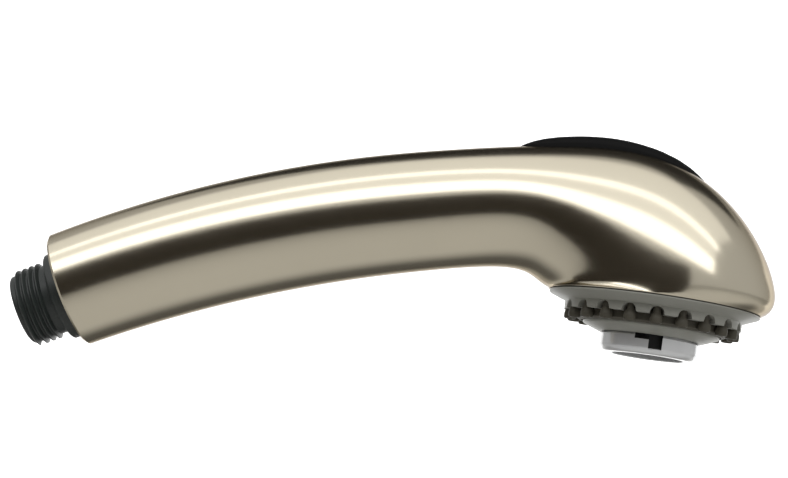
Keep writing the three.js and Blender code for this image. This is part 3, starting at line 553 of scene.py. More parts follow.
class CasingShape:
    """Sections of the casing along the handle and round through the head."""

    def __init__(self, sizes):
        self.sizes = sizes
        self.rim = Vector((SPRAY_AXIS.x, 0, RIM_Z))
        stations = [self.handle(sizes.arc - back) for back in HANDLE_STATIONS]
        for top, low, half, skew in FAN:
            stations.append((self.in_fan(top), self.in_fan(low), half * sizes.rim, skew))
        tops = [station[0] for station in stations]
        lows = [station[1] for station in stations]
        steps = [(b - a).length for a, b in zip(tops, tops[1:])]
        places = [sum(steps[:i]) for i in range(len(stations))]
        self.neck, self.lip = places[NECK_STATION], places[-1]
        fixed = [FIRM] * (NECK_STATION + 1)
        loose = [1] * (len(stations) - len(fixed) - len(LIP_HOLDS))
        holds = fixed + loose + list(LIP_HOLDS)
        girths = [(half, skew * sizes.rim, 0) for _, _, half, skew in stations]
        self.tops = EvenLine(places, tops, holds, sizes.give)
        self.lows = EvenLine(places, lows, holds, sizes.give)
        self.girths = EvenLine(places, girths, holds, sizes.give)

    def in_fan(self, point):
        return self.rim + Vector((point[0], 0, point[1])) * self.sizes.rim

    def handle(self, s, radius=None):
        """The round section at a length along the handle."""
        sizes = self.sizes
        heading = INLET_RISE - s / sizes.bend
        start = Vector((math.cos(INLET_RISE), 0, math.sin(INLET_RISE))) * sizes.start
        start += Vector((-math.sin(INLET_RISE), 0, math.cos(INLET_RISE))) * sizes.offset
        across = Vector(
            (
                math.sin(INLET_RISE) - math.sin(heading),
                0,
                math.cos(heading) - math.cos(INLET_RISE),
            )
        )
        centre = start + across * sizes.bend
        up = Vector((-math.sin(heading), 0, math.cos(heading)))
        u = s / sizes.arc
        r = radius or sizes.end + sizes.swell * 4 * u * (1 - u)
        return centre + up * r, centre - up * r, r, 0

    def head(self, t):
        """The section at a share of the way from the end of the handle to the rim."""
        place = self.neck + t * (self.lip - self.neck)
        girth = self.girths.at(place)
        return self.tops.at(place), self.lows.at(place), girth.x, girth.y / self.sizes.rim

    def ring(self, section, inset):
        top, low, half, skew = section
        reach = (top - low) / 2
        centre = (top + low) / 2
        reach *= (reach.length - inset) / reach.length
        ring = []
        for j in range(self.sizes.sides):
            a = 2 * math.pi * j / self.sizes.sides
            wide = (half - inset) * math.sin(a) * (1 - skew * math.cos(a))
            ring.append(centre + reach * math.cos(a) - Vector((0, wide, 0)))
        return ring

    def rings(self, start, inset, handle_steps, head_steps):
        """Rings from a length along the handle through to the rim."""
        end = self.sizes.arc - HANDLE_STATIONS[NECK_STATION]
        places = [start + (end - start) * i / handle_steps for i in range(handle_steps)]
        rings = [self.ring(self.handle(s), inset) for s in places]
        for i in range(head_steps + 1):
            rings.append(self.ring(self.head(i / head_steps), inset))
        return rings

    def crest(self, x):
        """The height of the top of the head over a place on the X axis."""
        low, high = 0.0, self.lip
        for _ in range(24):
            place = (low + high) / 2
            if self.tops.at(place).x < x:
                low = place
            else:
                high = place
        return self.tops.at(low).z


# ---------------------------------------------------------------- pieces


def pad_outline(sizes, grow=0.0, count=96):
    """The oval of the rocker pad, or one a little larger all round."""
    half_x = (PAD_HIGH.x - PAD_LOW.x) / 2 + grow
    half_y = (PAD_HIGH.y - PAD_LOW.y) / 2 + grow
    centre = (PAD_HIGH.x + PAD_LOW.x) / 2

    def bulge(v):
        return math.copysign(abs(v) ** (2 / sizes.roundness), v)

    angles = [2 * math.pi * j / count for j in range(count)]
    return [(centre + half_x * bulge(math.cos(a)), half_y * bulge(math.sin(a))) for a in angles]


def build_casing(scene):
    """The plated casing: a smooth shell with a hole for the inlet and an opening for the rocker."""
    sizes = scene.wand_casing
    shape = CasingShape(sizes)
    inset = sizes.clearance
    outer = shape.rings(sizes.chamfer, inset, 40, 90)
    end = [shape.ring(shape.handle(0, sizes.end - sizes.chamfer), inset)]
    inner = shape.rings(sizes.wall, sizes.wall, 20, 45)
    edge = 0.18 * MM  # rounding of the rim
    roll = [p + Vector((0, 0, edge)) for p in shape.ring(shape.head(1), inset)]
    outer[-1] = roll
    rim = [shape.ring(shape.head(1), inset + edge), shape.ring(shape.head(1), sizes.wall - edge)]
    inner[-1] = [p + Vector((0, 0, edge)) for p in inner[-1]]
    hole = SPIGOT_R + 0.3 * MM
    turn = along_inlet()

    def hole_ring(depth):
        angles = [2 * math.pi * j / sizes.sides for j in range(sizes.sides)]
        flat = [Vector((-hole * math.cos(a), -hole * math.sin(a), sizes.start + depth)) for a in angles]
        return [turn @ p for p in flat]

    rings = [hole_ring(sizes.wall), hole_ring(0)] + end + outer + rim + inner[::-1]
    points, faces = skin(rings, closed=True)
    casing = piece_from("casing", points, faces)
    opening = pad_outline(scene.wand_rocker, 0.55 * MM)
    casing = carve(casing, "casing", prism(opening, RIM_Z + 20 * MM, CAD_BOX[1].z + 10 * MM))
    use_finish(casing, "nickel")
    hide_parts("body_shell")
    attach(casing, "wand")


def new_tree(name, *inputs):
    """An empty geometry tree with named inputs, which are also given as values."""
    tree = bpy.data.node_groups.new(name, "GeometryNodeTree")
    for label, kind in (*inputs, ("Finish", "Material")):
        tree.interface.new_socket(label, in_out="INPUT", socket_type="NodeSocket" + kind)
    tree.interface.new_socket("Geometry", in_out="OUTPUT", socket_type="NodeSocketGeometry")
    nodes = Nodes(tree)
    given = tree.nodes.new("NodeGroupInput")
    return nodes, {socket.name: Value(nodes, socket) for socket in given.outputs if socket.name}


def closed_tree(nodes, shape, finish):
    """The tree, ended with real geometry in its finish."""
    real = nodes.make("GeometryNodeRealizeInstances", {}, {"Geometry": shape})
    ready = nodes.make("GeometryNodeSetMaterial", {}, {"Geometry": real, "Material": finish})
    out = nodes.tree.nodes.new("NodeGroupOutput")
    nodes.fill(out.inputs[0], ready)
    return nodes.tree


def helix_in(nodes, size, resolution, height):
    """The centre line of a thread or a spring."""
    inputs = {
        "Resolution": resolution,
        "Rotations": size["Turns"],
        "Start Radius": size["Radius"],
        "End Radius": size["Radius"],
        "Height": height,
    }
    return nodes.make("GeometryNodeCurveSpiral", {}, inputs)


def swept_in(nodes, path, section, capped=True):
    inputs = {"Curve": path, "Profile Curve": section, "Fill Caps": capped}
    return nodes.make("GeometryNodeCurveToMesh", {}, inputs)


def thread_tree():
    """Geometry nodes: one thread ridge swept along a helix."""
    inputs = [(label, "Float") for label in ("Turns", "Radius", "Pitch", "Width", "Depth")]
    nodes, size = new_tree("Thread", *inputs)
    helix = helix_in(nodes, size, 64, size["Turns"] * size["Pitch"])
    upright = nodes.make("GeometryNodeSetCurveNormal", {"mode": "Z_UP"}, {"Curve": helix})
    sides = {
        "Bottom Width": size["Width"],
        "Top Width": size["Width"] * 0.16,
        "Height": size["Depth"],
        "Offset": 0,
    }
    kind = "GeometryNodeCurvePrimitiveQuadrilateral"
    profile = nodes.make(kind, {"mode": "TRAPEZOID"}, sides)
    quarter_turn = {"Geometry": profile, "Rotation": (0, 0, math.pi / 2)}
    turned_profile = nodes.make("GeometryNodeTransform", {}, quarter_turn)
    return closed_tree(nodes, swept_in(nodes, upright, turned_profile), size["Finish"])


def grown(name, tree, values, place=Matrix(), sharp=35):
    """A plain mesh made by a geometry-node tree with the values given for its named inputs."""
    holder = bpy.data.objects.new(name, bpy.data.meshes.new(name))
    bpy.context.collection.objects.link(holder)
    growth = holder.modifiers.new("growth", "NODES")
    growth.node_group = tree
    for item in tree.interface.items_tree:
        if item.in_out == "INPUT" and item.name in values:
            growth[item.identifier] = values[item.name]
    made = settled(holder, name, sharp)
    made.data.transform(place)
    return made


def joined(name, *parts, sharp=35):
    """Pieces of one material put together as one."""
    with bpy.context.temp_override(
        active_object=parts[0], object=parts[0], selected_editable_objects=list(parts)
    ):
        bpy.ops.object.join()
    parts[0].name = name
    parts[0].data.name = name
    return parts[0]


LEAD_IN = 1.5 * MM  # from the inlet's end face to the middle of the first turn
LEAD_OUT = 0.6 * MM


def build_inlet(scene):
    """The threaded nylon inlet, with its thread wound round a turned core."""
    sizes = scene.wand_inlet
    turn = along_inlet()
    start = sizes.threaded + sizes.neck
    flange_end = start + sizes.flange_depth
    root = sizes.minor
    groove, groove_start, groove_end = 7.7 * MM, 22 * MM, 24.2 * MM
    outlet, bore_end, length = 5.4 * MM, 21 * MM, 29 * MM
    core = [
        (sizes.bore, 0),
        (root - 0.45 * MM, 0),
        (root, 0.5 * MM),
        (root, start - 0.4 * MM),
        (sizes.flange - 0.4 * MM, start),
        (sizes.flange, start + 0.4 * MM),
        (sizes.flange, flange_end),
        (SPIGOT_R, flange_end),
        (SPIGOT_R, groove_start),
        (groove, groove_start),
        (groove, groove_end),
        (SPIGOT_R, groove_end),
        (SPIGOT_R, length),
        (outlet, length),
        (outlet, bore_end + 2 * MM),
        (sizes.bore, bore_end),
    ]
    body = lathe_piece("inlet", core, 0.15 * MM, 96, turn)
    body.data.materials.append(FINISHES["dark_nylon"])
    depth = sizes.major - root + 0.2 * MM
    turns = (sizes.threaded - LEAD_IN - LEAD_OUT) / sizes.pitch
    thread = grown(
        "thread",
        thread_tree(),
        {
            "Turns": turns,
            "Radius": sizes.major - depth / 2,
            "Pitch": sizes.pitch,
            "Width": sizes.pitch * 0.92,
            "Depth": depth,
            "Finish": FINISHES["dark_nylon"],
        },
        turn @ Matrix.Translation((0, 0, LEAD_IN)),
        25,
    )
    inlet = joined("inlet", body, thread)
    use_finish(inlet, "dark_nylon")
    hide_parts("inlet_nipple")
    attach(inlet, "wand")


# How proud of the crest the pad stands, at shares of its length from rear to front.
PROUD = [(0, 1.2), (0.1, 1.9), (0.28, 2.4), (0.48, 2.5), (0.66, 2.1), (0.83, 1.6), (1, 0.4)]


PAD_INSET = 0.03 * MM
PAD_THICKNESS = 2.2 * MM
PAD_SKIRT = 4.6 * MM  # how far the skirt hangs below the crest


def build_rocker(scene):
    """The crowned rubber pad of the rocker."""
    sizes = scene.wand_rocker
    shape = CasingShape(scene.wand_casing)
    centre = (PAD_HIGH.x + PAD_LOW.x) / 2
    length = PAD_HIGH.x - PAD_LOW.x
    heights = [(0, height * MM, 0) for _, height in PROUD]
    proud = EvenLine([share for share, _ in PROUD], heights, [1] * len(PROUD), 0.05)

    def top(x, y, share):
        crest = shape.crest(x) + proud.at(min(max((x - PAD_LOW.x) / length, 0), 1)).y
        return crest - y**2 / 2 / sizes.crown - sizes.edge * share**8

    def level(outline, share, drop=0.0):
        ring = []
        for x, y in outline:
            near_x = centre + (x - centre) * share
            ring.append(Vector((near_x, y * share, top(near_x, y * share, share) - drop)))
        return ring

    def low_ring(outline):
        return [Vector((x, y, min(skirt_of(x), top(x, y, 1) - 1 * MM))) for x, y in outline]

    def skirt_of(x):
        return min(shape.crest(x), shape.crest(middle("rocker_pin").x)) - PAD_SKIRT

    outer = pad_outline(sizes, -PAD_INSET)
    inner = pad_outline(sizes, -sizes.skirt)
    shares = [0.999, 0.985, 0.96, 0.92, 0.86, 0.78, 0.66, 0.5, 0.33, 0.16, 0.03]
    rings = [[p.copy() for p in low_ring(outer)]]
    rings += [level(outer, share, PAD_INSET) for share in shares]
    inside = [low_ring(inner)]
    inside += [level(inner, share, PAD_THICKNESS) for share in (0.98, 0.8, 0.5, 0.1)]
    points, faces = skin(inside[::-1] + rings)
    count = len(rings[0])
    total = len(inside) + len(rings)
    faces.append(tuple(reversed(range(count))))
    faces.append(tuple((total - 1) * count + j for j in range(count)))
    pad = piece_from("rocker_pad_rubber", points, faces, 50)
    use_finish(pad, "black_rubber")
    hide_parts("rocker_pad")
    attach(pad, "rocker")


def face_profile(sizes, arch):
    """The face plate's section where its wall is open by a share, 0 at a tooth and 1 at an arch."""
    top = RIM_Z - 2.4 * MM
    tooth = PLATE_LOW.z + SKIN
    low = tooth + (top - 0.25 * MM - tooth) * arch
    edge, web = 27 * MM, RIM_Z - 0.9 * MM
    inside_skirt = SKIRT_R - 1.7 * MM
    inside_wall = sizes.circle - 1.2 * MM
    return [
        (inside_skirt, PLATE_HIGH.z),
        (SKIRT_R, PLATE_HIGH.z),
        (SKIRT_R, RIM_Z - 0.3 * MM),
        (edge - 0.02 * MM, RIM_Z - 0.3 * MM),
        (edge, RIM_Z - 0.42 * MM),
        (edge, RIM_Z - 0.62 * MM),
        (edge - 0.12 * MM, RIM_Z - 0.74 * MM),
        (sizes.wall + 0.25 * MM, top + 0.08 * MM),
        (sizes.wall + 0.02 * MM, top - 0.06 * MM),
        (sizes.wall, top - 0.2 * MM),
        (sizes.wall, low + 0.04 * MM),
        (sizes.wall - 0.08 * MM, low),
        (inside_wall + 0.1 * MM, low),
        (inside_wall, low + 0.04 * MM),
        (inside_wall, web),
        (inside_skirt, web),
    ]


def build_face_plate(scene):
    """The grey plate under the rim, with a scalloped wall that leaves an arch at each nozzle."""
    sizes = scene.wand_face
    steps = 32  # sections in one pitch
    segments = sizes.nozzles * steps
    pitch = 2 * math.pi / sizes.nozzles
    half = 1.85 * MM / sizes.wall  # half of an arch, as an angle
    rings = []
    for j in range(segments):
        a = 2 * math.pi * j / segments
        off = (a / pitch - sizes.phase + 0.5) % 1 - 0.5
        share = abs(off * pitch) / half
        arch = math.sqrt(max(0, 1 - share**2.4))
        section = face_profile(sizes, arch)
        turn = Vector((math.cos(a), math.sin(a), 0))
        rings.append([SPRAY_AXIS + turn * r + Vector((0, 0, z)) for r, z in section])
    points, faces = skin(rings, closed=True)
    plate = piece_from("face_plate_moulding", points, [face[::-1] for face in faces], 40)
    use_finish(plate, "grey_plastic")
    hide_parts("face_plate")
    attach(plate, "wand")


def nozzle_tree():
    """Geometry nodes: copies of one nozzle stood round a circle."""
    inputs = (("Nozzle", "Object"), ("Count", "Int"), ("Circle", "Float"), ("Start", "Float"))
    nodes, size = new_tree("Nozzles", *inputs)
    ring = {"Vertices": size["Count"], "Radius": size["Circle"]}
    circle = nodes.make("GeometryNodeMeshCircle", {}, ring)
    aim = nodes.make("ShaderNodeCombineXYZ", {}, {"Z": size["Start"]})
    started = nodes.make("GeometryNodeTransform", {}, {"Geometry": circle, "Rotation": aim})
    source = {"Object": size["Nozzle"]}
    shape = nodes.make("GeometryNodeObjectInfo", {}, source, output="Geometry")
    stand = {"Points": started, "Instance": shape}
    copies = nodes.make("GeometryNodeInstanceOnPoints", {}, stand)
    return closed_tree(nodes, copies, size["Finish"])


def build_nozzles(scene):
    """The soft nozzle ring: twenty tapered nozzles on one band."""
    sizes = scene.wand_face
    tip = NOZZLE_LOW.z + SKIN
    root = NOZZLE_HIGH.z - 1 * MM
    r = sizes.nozzle
    profile = [
        (sizes.hole, tip + 0.7 * MM),
        (sizes.hole, tip + 0.25 * MM),
        (sizes.hole + 0.3 * MM, tip),
        (r * 0.82, tip),
        (r * 0.97, tip + 0.3 * MM),
        (r, tip + 1.2 * MM),
        (r * 0.92, tip + 2.0 * MM),
        (r * 0.6, tip + 2.9 * MM),
        (r * 0.6, root),
        (sizes.hole, root),
    ]
    one = lathe_piece("one_nozzle", profile, 0.12 * MM, 24)
    ring = grown(
        "nozzles",
        nozzle_tree(),
        {
            "Nozzle": one,
            "Count": sizes.nozzles,
            "Circle": sizes.circle,
            "Start": 2 * math.pi * sizes.phase / sizes.nozzles,
            "Finish": FINISHES["taupe_silicone"],
        },
        on_axis(),
    )
    bpy.data.objects.remove(one)
    inner, outer, flange = 17.95 * MM, 19.4 * MM, 22.75 * MM
    under_flange = NOZZLE_HIGH.z - 1.6 * MM
    band = [
        (inner, NOZZLE_HIGH.z),
        (inner, HUB_LOW.z + 2.1 * MM),
        (outer, HUB_LOW.z + 2.7 * MM),
        (outer, under_flange),
        (flange, under_flange),
        (flange, NOZZLE_HIGH.z),
    ]
    web = lathe_piece("nozzle_band", band, 0.2 * MM, 120, on_axis())
    web.data.materials.append(FINISHES["taupe_silicone"])
    soft = joined("nozzle_ring_silicone", web, ring)
    use_finish(soft, "taupe_silicone")
    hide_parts("nozzle_ring")
    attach(soft, "wand")


def build_hub(scene):
    """The dished grey hub inside the nozzles."""
    low, high = HUB_LOW.z, HUB_HIGH.z
    edge, boss, groove = 17.57 * MM, 7.2 * MM, 6.2 * MM
    bore, recess = 5.4 * MM, 11.9 * MM
    roof, ceiling = RIM_Z - 0.2 * MM, RIM_Z - 2.5 * MM
    groove_low, groove_high = RIM_Z + 1.8 * MM, RIM_Z + 3.5 * MM
    profile = [
        (recess + 0.1 * MM, low + SKIN),
        (13.2 * MM, low + SKIN),
        (17.3 * MM, low + 1.6 * MM),
        (edge, low + 1.95 * MM),
        (edge, roof),
        (boss, roof),
        (boss, groove_low),
        (groove, groove_low),
        (groove, groove_high),
        (boss, groove_high),
        (boss, high),
        (bore, high),
        (bore, ceiling),
        (recess, ceiling),
    ]
    hub = lathe_piece("hub", profile, 0.3 * MM, 120, on_axis())
    use_finish(hub, "grey_plastic")
    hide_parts("spray_hub")
    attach(hub, "wand")


WINDOW_HALF = 3.5 * MM  # half the width of an air window


def build_aerator(scene):
    """The chromed collar with its two stepped air windows, and the lip that holds the black insert
    inside.
    """
    sizes = scene.wand_aerator
    low, top = COLLAR_LOW.z + SKIN, COLLAR_HIGH.z
    shoulder = low + sizes.shoulder
    r, corner = sizes.collar, sizes.corner
    neck, bore = 11.6 * MM, 10.5 * MM
    ledge = low + 1.3 * MM  # top of the lip that holds the insert
    break_edge = 0.25 * MM
    profile = [(sizes.lip, low + 0.2 * MM), (sizes.lip + 0.2 * MM, low)]
    for degrees in range(0, 91, 10):
        a = math.radians(degrees)
        profile.append((r - corner + corner * math.sin(a), low + corner - corner * math.cos(a)))
    profile += [
        (r, shoulder - break_edge),
        (r - break_edge, shoulder),
        (neck, shoulder),
        (neck, top),
        (bore, top),
        (bore, ledge),
        (sizes.lip, ledge),
    ]
    rings = turned(profile, 144, on_axis())
    points, faces = skin(rings, closed=True)
    collar = piece_from("collar", points, faces)
    cutters = []
    for side in (-1, 1):
        slot = (shoulder - 1.1 * MM, shoulder + 0.6 * MM)
        step = (shoulder - 3.5 * MM, shoulder - 1.0 * MM)
        cutters.append(window_cutter(side, -WINDOW_HALF, WINDOW_HALF, *slot))
        cutters.append(window_cutter(side, 0.1 * MM, WINDOW_HALF, *step))
    collar = carve(collar, "collar", *cutters, sharp=30)
    use_finish(collar, "chrome")
    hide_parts("aerator_collar")
    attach(collar, "wand")


def window_cutter(side, left, right, low, high):
    """A block through one side of the collar: left and right as seen from that side."""
    near, far = 9.5 * MM, 13.6 * MM
    outline = [(left, -far), (right, -far), (right, -near), (left, -near)]
    if side > 0:
        outline = [(-x, -y) for x, y in outline]
    placed = [(SPRAY_AXIS.x + x, y) for x, y in outline]
    return prism(placed, low, high)


def screen_tree():
    """Geometry nodes: a square mesh of crossing wires trimmed to a round frame."""
    nodes, size = new_tree("Screen", ("Wires", "Int"), ("Radius", "Float"), ("Wire", "Float"))
    sides = {f"Size {axis}": size["Radius"] * 2 for axis in "XY"}
    sides.update({f"Vertices {axis}": size["Wires"] for axis in "XY"})
    grid = nodes.make("GeometryNodeMeshGrid", {}, sides)
    at = nodes.make("GeometryNodeInputPosition")
    reach = nodes.make("ShaderNodeVectorMath", {"operation": "LENGTH"}, {0: at}, output="Value")
    test = {"data_type": "FLOAT", "operation": "GREATER_THAN"}
    outside = nodes.make("FunctionNodeCompare", test, {"A": reach, "B": size["Radius"]})
    cut = {"Geometry": grid, "Selection": outside}
    round_grid = nodes.make("GeometryNodeDeleteGeometry", {}, cut)
    wires = nodes.make("GeometryNodeMeshToCurve", {}, {"Mesh": round_grid})
    hexagon = {"Resolution": 6, "Radius": size["Wire"]}
    section = nodes.make("GeometryNodeCurvePrimitiveCircle", {}, hexagon)
    return closed_tree(nodes, swept_in(nodes, wires, section, False), size["Finish"])


def build_screen(scene):
    """The aerator's fine wire screen."""
    sizes = scene.wand_aerator
    low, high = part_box("aerator_screen")
    radius = (high.x - low.x) / 2
    wire, hoop_width = 0.16 * MM, 1.3 * MM
    level = (low.z + high.z) / 2
    mesh = grown(
        "wires",
        screen_tree(),
        {
            "Wires": sizes.wires,
            "Radius": radius - 0.6 * MM,
            "Wire": wire,
            "Finish": FINISHES["steel"],
        },
        on_axis(level),
    )
    ring = [
        (radius - hoop_width, low.z + SKIN),
        (radius - SKIN, low.z + SKIN),
        (radius - SKIN, high.z - SKIN),
        (radius - hoop_width, high.z - SKIN),
    ]
    hoop = lathe_piece("hoop", ring, 0.08 * MM, 72, on_axis())
    hoop.data.materials.append(FINISHES["steel"])
    screen = joined("aerator_wire_screen", hoop, mesh)
    use_finish(screen, "steel")
    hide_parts("aerator_screen")
    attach(screen, "wand")


def spring_tree():
    """Geometry nodes: a round wire wound into a helix."""
    inputs = [(label, "Float") for label in ("Turns", "Radius", "Length", "Wire")]
    nodes, size = new_tree("Spring", *inputs)
    helix = helix_in(nodes, size, 28, size["Length"])
    round_wire = {"Resolution": 10, "Radius": size["Wire"]}
    section = nodes.make("GeometryNodeCurvePrimitiveCircle", {}, round_wire)
    return closed_tree(nodes, swept_in(nodes, helix, section), size["Finish"])


def build_spring(scene):
    """The non-return valve's spring."""
    start, end = 9.35 * MM, 17.75 * MM
    spring = grown(
        "check_spring",
        spring_tree(),
        {
            "Turns": 5.0,
            "Radius": 2.6 * MM,
            "Length": end - start,
            "Wire": 0.33 * MM,
            "Finish": FINISHES["steel"],
        },
        along_inlet() @ Matrix.Translation((0, 0, start)),
        60,
    )
    use_finish(spring, "steel")
    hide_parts("check_valve_spring")
    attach(spring, "wand")
    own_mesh(spring)


def finish_carried_over(_scene):
    """Every CAD node that keeps its shape gets the finish of its slot."""
    slots = {row["node"]: row["material_slot"] for row in frame["record"]["subparts"]}
    for name, node in frame["nodes"].items():
        for slot in node.material_slots:
            slot.material = FINISHES[slots[name]]


# ---------------------------------------------------------------- studio


def arc_of_card(centre, radius, turns, heights, steps=24):
    """Corners of an upright sheet bent round the wand between two turns from the camera's side."""
    low, high = heights
    rows = []
    for i in range(steps + 1):
        a = math.radians(turns[0] + (turns[1] - turns[0]) * i / steps)
        x, y = centre.x + radius * math.sin(a), centre.y - radius * math.cos(a)
        rows.append([(x, y, low), (x, y, high)])
    return rows


def card(name, rows, shade, glow, tone=None):
    """A sheet of the set, given by rows of points, which may give light of its own."""
    count = len(rows[0])
    points = [p for row in rows for p in row]
    faces = []
    for i in range(len(rows) - 1):
        for j in range(count - 1):
            near, far = i * count + j, (i + 1) * count + j
            faces.append((near, near + 1, far + 1, far))
    mesh = bpy.data.meshes.new(name)
    mesh.from_pydata(points, [], faces)
    sheet = bpy.data.objects.new(name, mesh)
    bpy.context.collection.objects.link(sheet)

    def plain(n):
        return n.mix(n.noise(n.place(), 2.0, 3), shaded(shade, 0.985), shade)

    paint = surface(name, tone or plain, lambda n: 0.75 + n.noise(n.place(), 30, 3) * 0.1)
    shader = paint.node_tree.nodes["Principled BSDF"]
    shader.inputs["Emission Color"].default_value = (*shade, 1)
    shader.inputs["Emission Strength"].default_value = glow
    shader.inputs["Specular IOR Level"].default_value = 0.1
    mesh.materials.append(paint)
    return sheet


# Name, elevation over the camera's side in degrees, height in metres and brightness.
SOFTBOXES = (
    ("lower_softbox", 35.5, 0.48, 1.7),
    ("middle_softbox", 54, 0.36, 0.6),
    ("upper_softbox", 68, 0.24, 1.5),
    ("top_softbox", 91, 0.76, 0.5),
)


FLOOR_SHADE = (0.66, 0.655, 0.64)
FLOOR_REACH = 6.0

# The white sheet behind: how far back, half its width and its top, in metres, and its glow.
SHEET_BACK, SHEET_HALF, SHEET_TOP, SHEET_GLOW = 1.3, 1.1, 0.62, 1.05

# Flags bent round the wand: name, distance, turns in degrees from the camera's side, low and high
# edge in metres, and shade. The one in front stands on the floor.
FLAGS = (
    ("dark_flag", 1.0, (-95, 26), (None, 0.33), (0.045, 0.038, 0.031)),
    ("rear_flag", 1.2, (140, 220), (0.80, 2.4), (0.05, 0.047, 0.044)),
)

# A dark flag just over the floor, a painted shadow under and behind the wand that is seen only mirrored
# in it: its middle across and behind, and its half sizes, in metres.
PAINTED_SHADOW_FLAG = (0.1, 0.47, 1.0, 0.44)


def painted_shadow_tone(n):
    """Painted shadow: dark in the middle and as pale as the floor round the edge."""
    stretch = (1 / PAINTED_SHADOW_FLAG[2], 1 / PAINTED_SHADOW_FLAG[3], 0)
    centre = (PAINTED_SHADOW_FLAG[0] * stretch[0], PAINTED_SHADOW_FLAG[1] * stretch[1], 0)
    inputs = {0: n.place(stretch), 1: centre}
    away = n.make("ShaderNodeVectorMath", {"operation": "DISTANCE"}, inputs, output="Value")
    # the painted shadow: the floor's shade darkened to 0.22 in the middle, fading out to the floor's own
    # shade
    return n.mix(away.between(0.35, 1.0), shaded(FLOOR_SHADE, 0.22), FLOOR_SHADE)


def softbox(name, aim, elevation, height, radiance, distance=1.3, width=2.8):
    """A wide area light that faces the wand from an elevation over the camera's side."""
    data = bpy.data.lights.new(name, "AREA")
    data.shape = "RECTANGLE"
    data.size, data.size_y = width, height
    data.energy = radiance * math.pi * width * height
    light = bpy.data.objects.new(name, data)
    e = math.radians(elevation)
    light.location = aim + Vector((0, -math.cos(e), math.sin(e))) * distance
    light.rotation_euler = (math.pi / 2 - e, 0, 0)
    bpy.context.collection.objects.link(light)


def build_studio(scene):
    """A pale floor with a painted shadow flag on it, a white sheet behind, dark flags, softboxes above,
    and the camera.
    """
    sizes = scene.wand_studio
    centre = (CAD_BOX[0] + CAD_BOX[1]) / 2
    ground = -sizes.floor_drop
    sides = (-FLOOR_REACH, FLOOR_REACH)
    floor = [[(-x, y, ground) for y in sides] for x in sides]
    card("floor", floor, FLOOR_SHADE, 0.0)
    # A dark card just over the floor, hidden from the camera and casting no shadow: a painted shadow
    # under and behind the wand, seen in its reflections.
    across, behind, half_across, half_deep = PAINTED_SHADOW_FLAG
    level = ground + 1 * MM
    ends = (behind - half_deep, behind + half_deep)
    low = [[(across + x, y, level) for y in ends] for x in (half_across, -half_across)]
    low_flag = card("low_flag", low, FLOOR_SHADE, 0.0, painted_shadow_tone)
    low_flag.visible_shadow = False
    heights = (ground, SHEET_TOP)
    back = [[(centre.x + x, SHEET_BACK, z) for z in heights] for x in (SHEET_HALF, -SHEET_HALF)]
    card("white_sheet", back, (1, 1, 1), SHEET_GLOW)
    flags = [low_flag]
    for name, radius, turns, (low_edge, high_edge), shade in FLAGS:
        rows = arc_of_card(centre, radius, turns, (low_edge or ground, high_edge))
        flags.append(card(name, rows, shade, 0.0))
    for flag in flags:
        flag.visible_camera = False  # flags are seen only mirrored in the wand
    for name, elevation, height, radiance in SOFTBOXES:
        softbox(name, centre, elevation, height, radiance)
    world = bpy.data.worlds.new("studio")
    scene.world = world
    world.use_nodes = True
    nodes = Nodes(world.node_tree)
    background = world.node_tree.nodes["Background"]
    nodes.fill(background.inputs["Color"], (*sizes.world, 1))
    background.inputs["Strength"].default_value = 1.0
    place_camera(scene)
    scene.view_settings.view_transform = "Standard"


def place_camera(scene):
    """The camera looks along the wand's side from a little in front and below, and leans."""
    sizes = scene.wand_studio
    data = bpy.data.cameras.new("camera")
    data.lens = sizes.lens
    data.sensor_width = 36
    camera = bpy.data.objects.new("camera", data)
    view = Vector((-0.13245, 0.98577, 0.10353)).normalized()
    up = Vector((-0.13178, -0.12104, 0.98388))
    right = view.cross(up).normalized()
    up = right.cross(view)
    turn = Matrix((right, up, -view)).transposed().to_4x4()
    target = Vector((0.09481, 0, 0.03189))
    camera.matrix_world = Matrix.Translation(target - view * sizes.distance) @ turn
    bpy.context.collection.objects.link(camera)
    scene.camera = camera


# ---------------------------------------------------------------- operators and panel


class WAND_OT_studio(bpy.types.Operator):
    """Set up the floor, the sheets, the lights and the camera"""

    bl_idname = "wand.studio"
    bl_label = "Studio"

    def execute(self, context):
        build_studio(context.scene)
        return {"FINISHED"}


class WAND_OT_finishes(bpy.types.Operator):
    """Make the finishes and put them on the carried-over CAD pieces"""

    bl_idname = "wand.finishes"
    bl_label = "Finishes"

    def execute(self, context):
        make_finishes(context.scene)
        finish_carried_over(context.scene)
        return {"FINISHED"}


class WAND_OT_casing(bpy.types.Operator):
    """Build the plated casing"""

    bl_idname = "wand.casing"
    bl_label = "Casing"

    def execute(self, context):
        build_casing(context.scene)
        return {"FINISHED"}


class WAND_OT_inlet(bpy.types.Operator):
    """Build the threaded inlet"""

    bl_idname = "wand.inlet"
    bl_label = "Inlet"

    def execute(self, context):
        build_inlet(context.scene)
        return {"FINISHED"}


class WAND_OT_rocker(bpy.types.Operator):
    """Build the rocker pad"""

    bl_idname = "wand.rocker"
    bl_label = "Rocker Pad"

    def execute(self, context):
        build_rocker(context.scene)
        return {"FINISHED"}


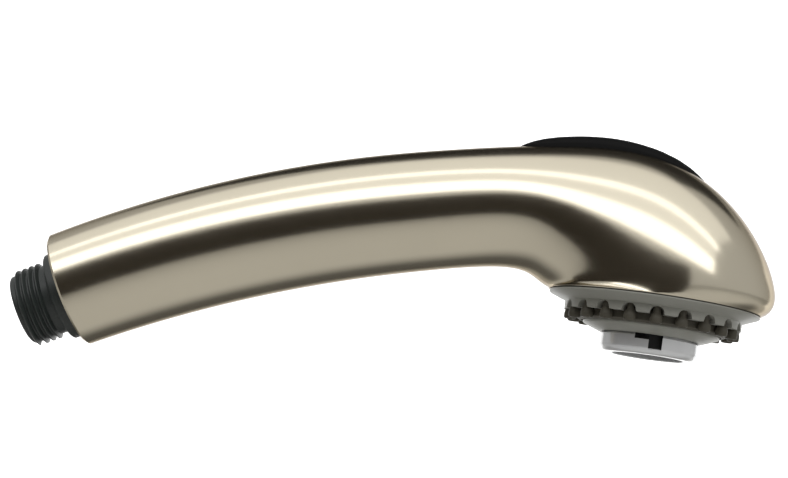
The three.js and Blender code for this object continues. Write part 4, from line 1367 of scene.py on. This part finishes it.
class WAND_OT_face(bpy.types.Operator):
    """Build the face plate, the nozzles and the hub"""

    bl_idname = "wand.face"
    bl_label = "Spray Face"

    def execute(self, context):
        build_face_plate(context.scene)
        build_nozzles(context.scene)
        build_hub(context.scene)
        return {"FINISHED"}


class WAND_OT_aerator(bpy.types.Operator):
    """Build the aerator's collar and screen"""

    bl_idname = "wand.aerator"
    bl_label = "Aerator"

    def execute(self, context):
        build_aerator(context.scene)
        build_screen(context.scene)
        return {"FINISHED"}


class WAND_OT_spring(bpy.types.Operator):
    """Build the non-return valve's spring"""

    bl_idname = "wand.spring"
    bl_label = "Valve Spring"

    def execute(self, context):
        build_spring(context.scene)
        return {"FINISHED"}


OPERATORS = (
    WAND_OT_studio,
    WAND_OT_finishes,
    WAND_OT_casing,
    WAND_OT_inlet,
    WAND_OT_rocker,
    WAND_OT_face,
    WAND_OT_aerator,
    WAND_OT_spring,
)


class WAND_PT_panel(bpy.types.Panel):
    """Lists the wand's pieces"""

    bl_idname = "WAND_PT_panel"
    bl_label = "Spray Wand"
    bl_space_type = "VIEW_3D"
    bl_region_type = "UI"
    bl_category = "Wand"

    def draw(self, context):
        for operator in OPERATORS:
            self.layout.operator(operator.bl_idname)


SIZES = {
    "wand_casing": WandCasingSizes,
    "wand_inlet": WandInletSizes,
    "wand_rocker": WandRockerSizes,
    "wand_face": WandFaceSizes,
    "wand_aerator": WandAeratorSizes,
    "wand_studio": WandStudioSizes,
}


def register():
    for group in SIZES.values():
        bpy.utils.register_class(group)
    for operator in OPERATORS:
        bpy.utils.register_class(operator)
    bpy.utils.register_class(WAND_PT_panel)
    for name, group in SIZES.items():
        setattr(bpy.types.Scene, name, PointerProperty(type=group))


def unregister():
    for name in SIZES:
        delattr(bpy.types.Scene, name)
    bpy.utils.unregister_class(WAND_PT_panel)
    for operator in reversed(OPERATORS):
        bpy.utils.unregister_class(operator)
    for group in SIZES.values():
        bpy.utils.unregister_class(group)


def main():
    register()
    bpy.ops.wand.studio()
    bpy.ops.wand.finishes()
    bpy.ops.wand.casing()
    bpy.ops.wand.inlet()
    bpy.ops.wand.rocker()
    bpy.ops.wand.face()
    bpy.ops.wand.aerator()
    bpy.ops.wand.spring()


if __name__ == "__main__":
    main()
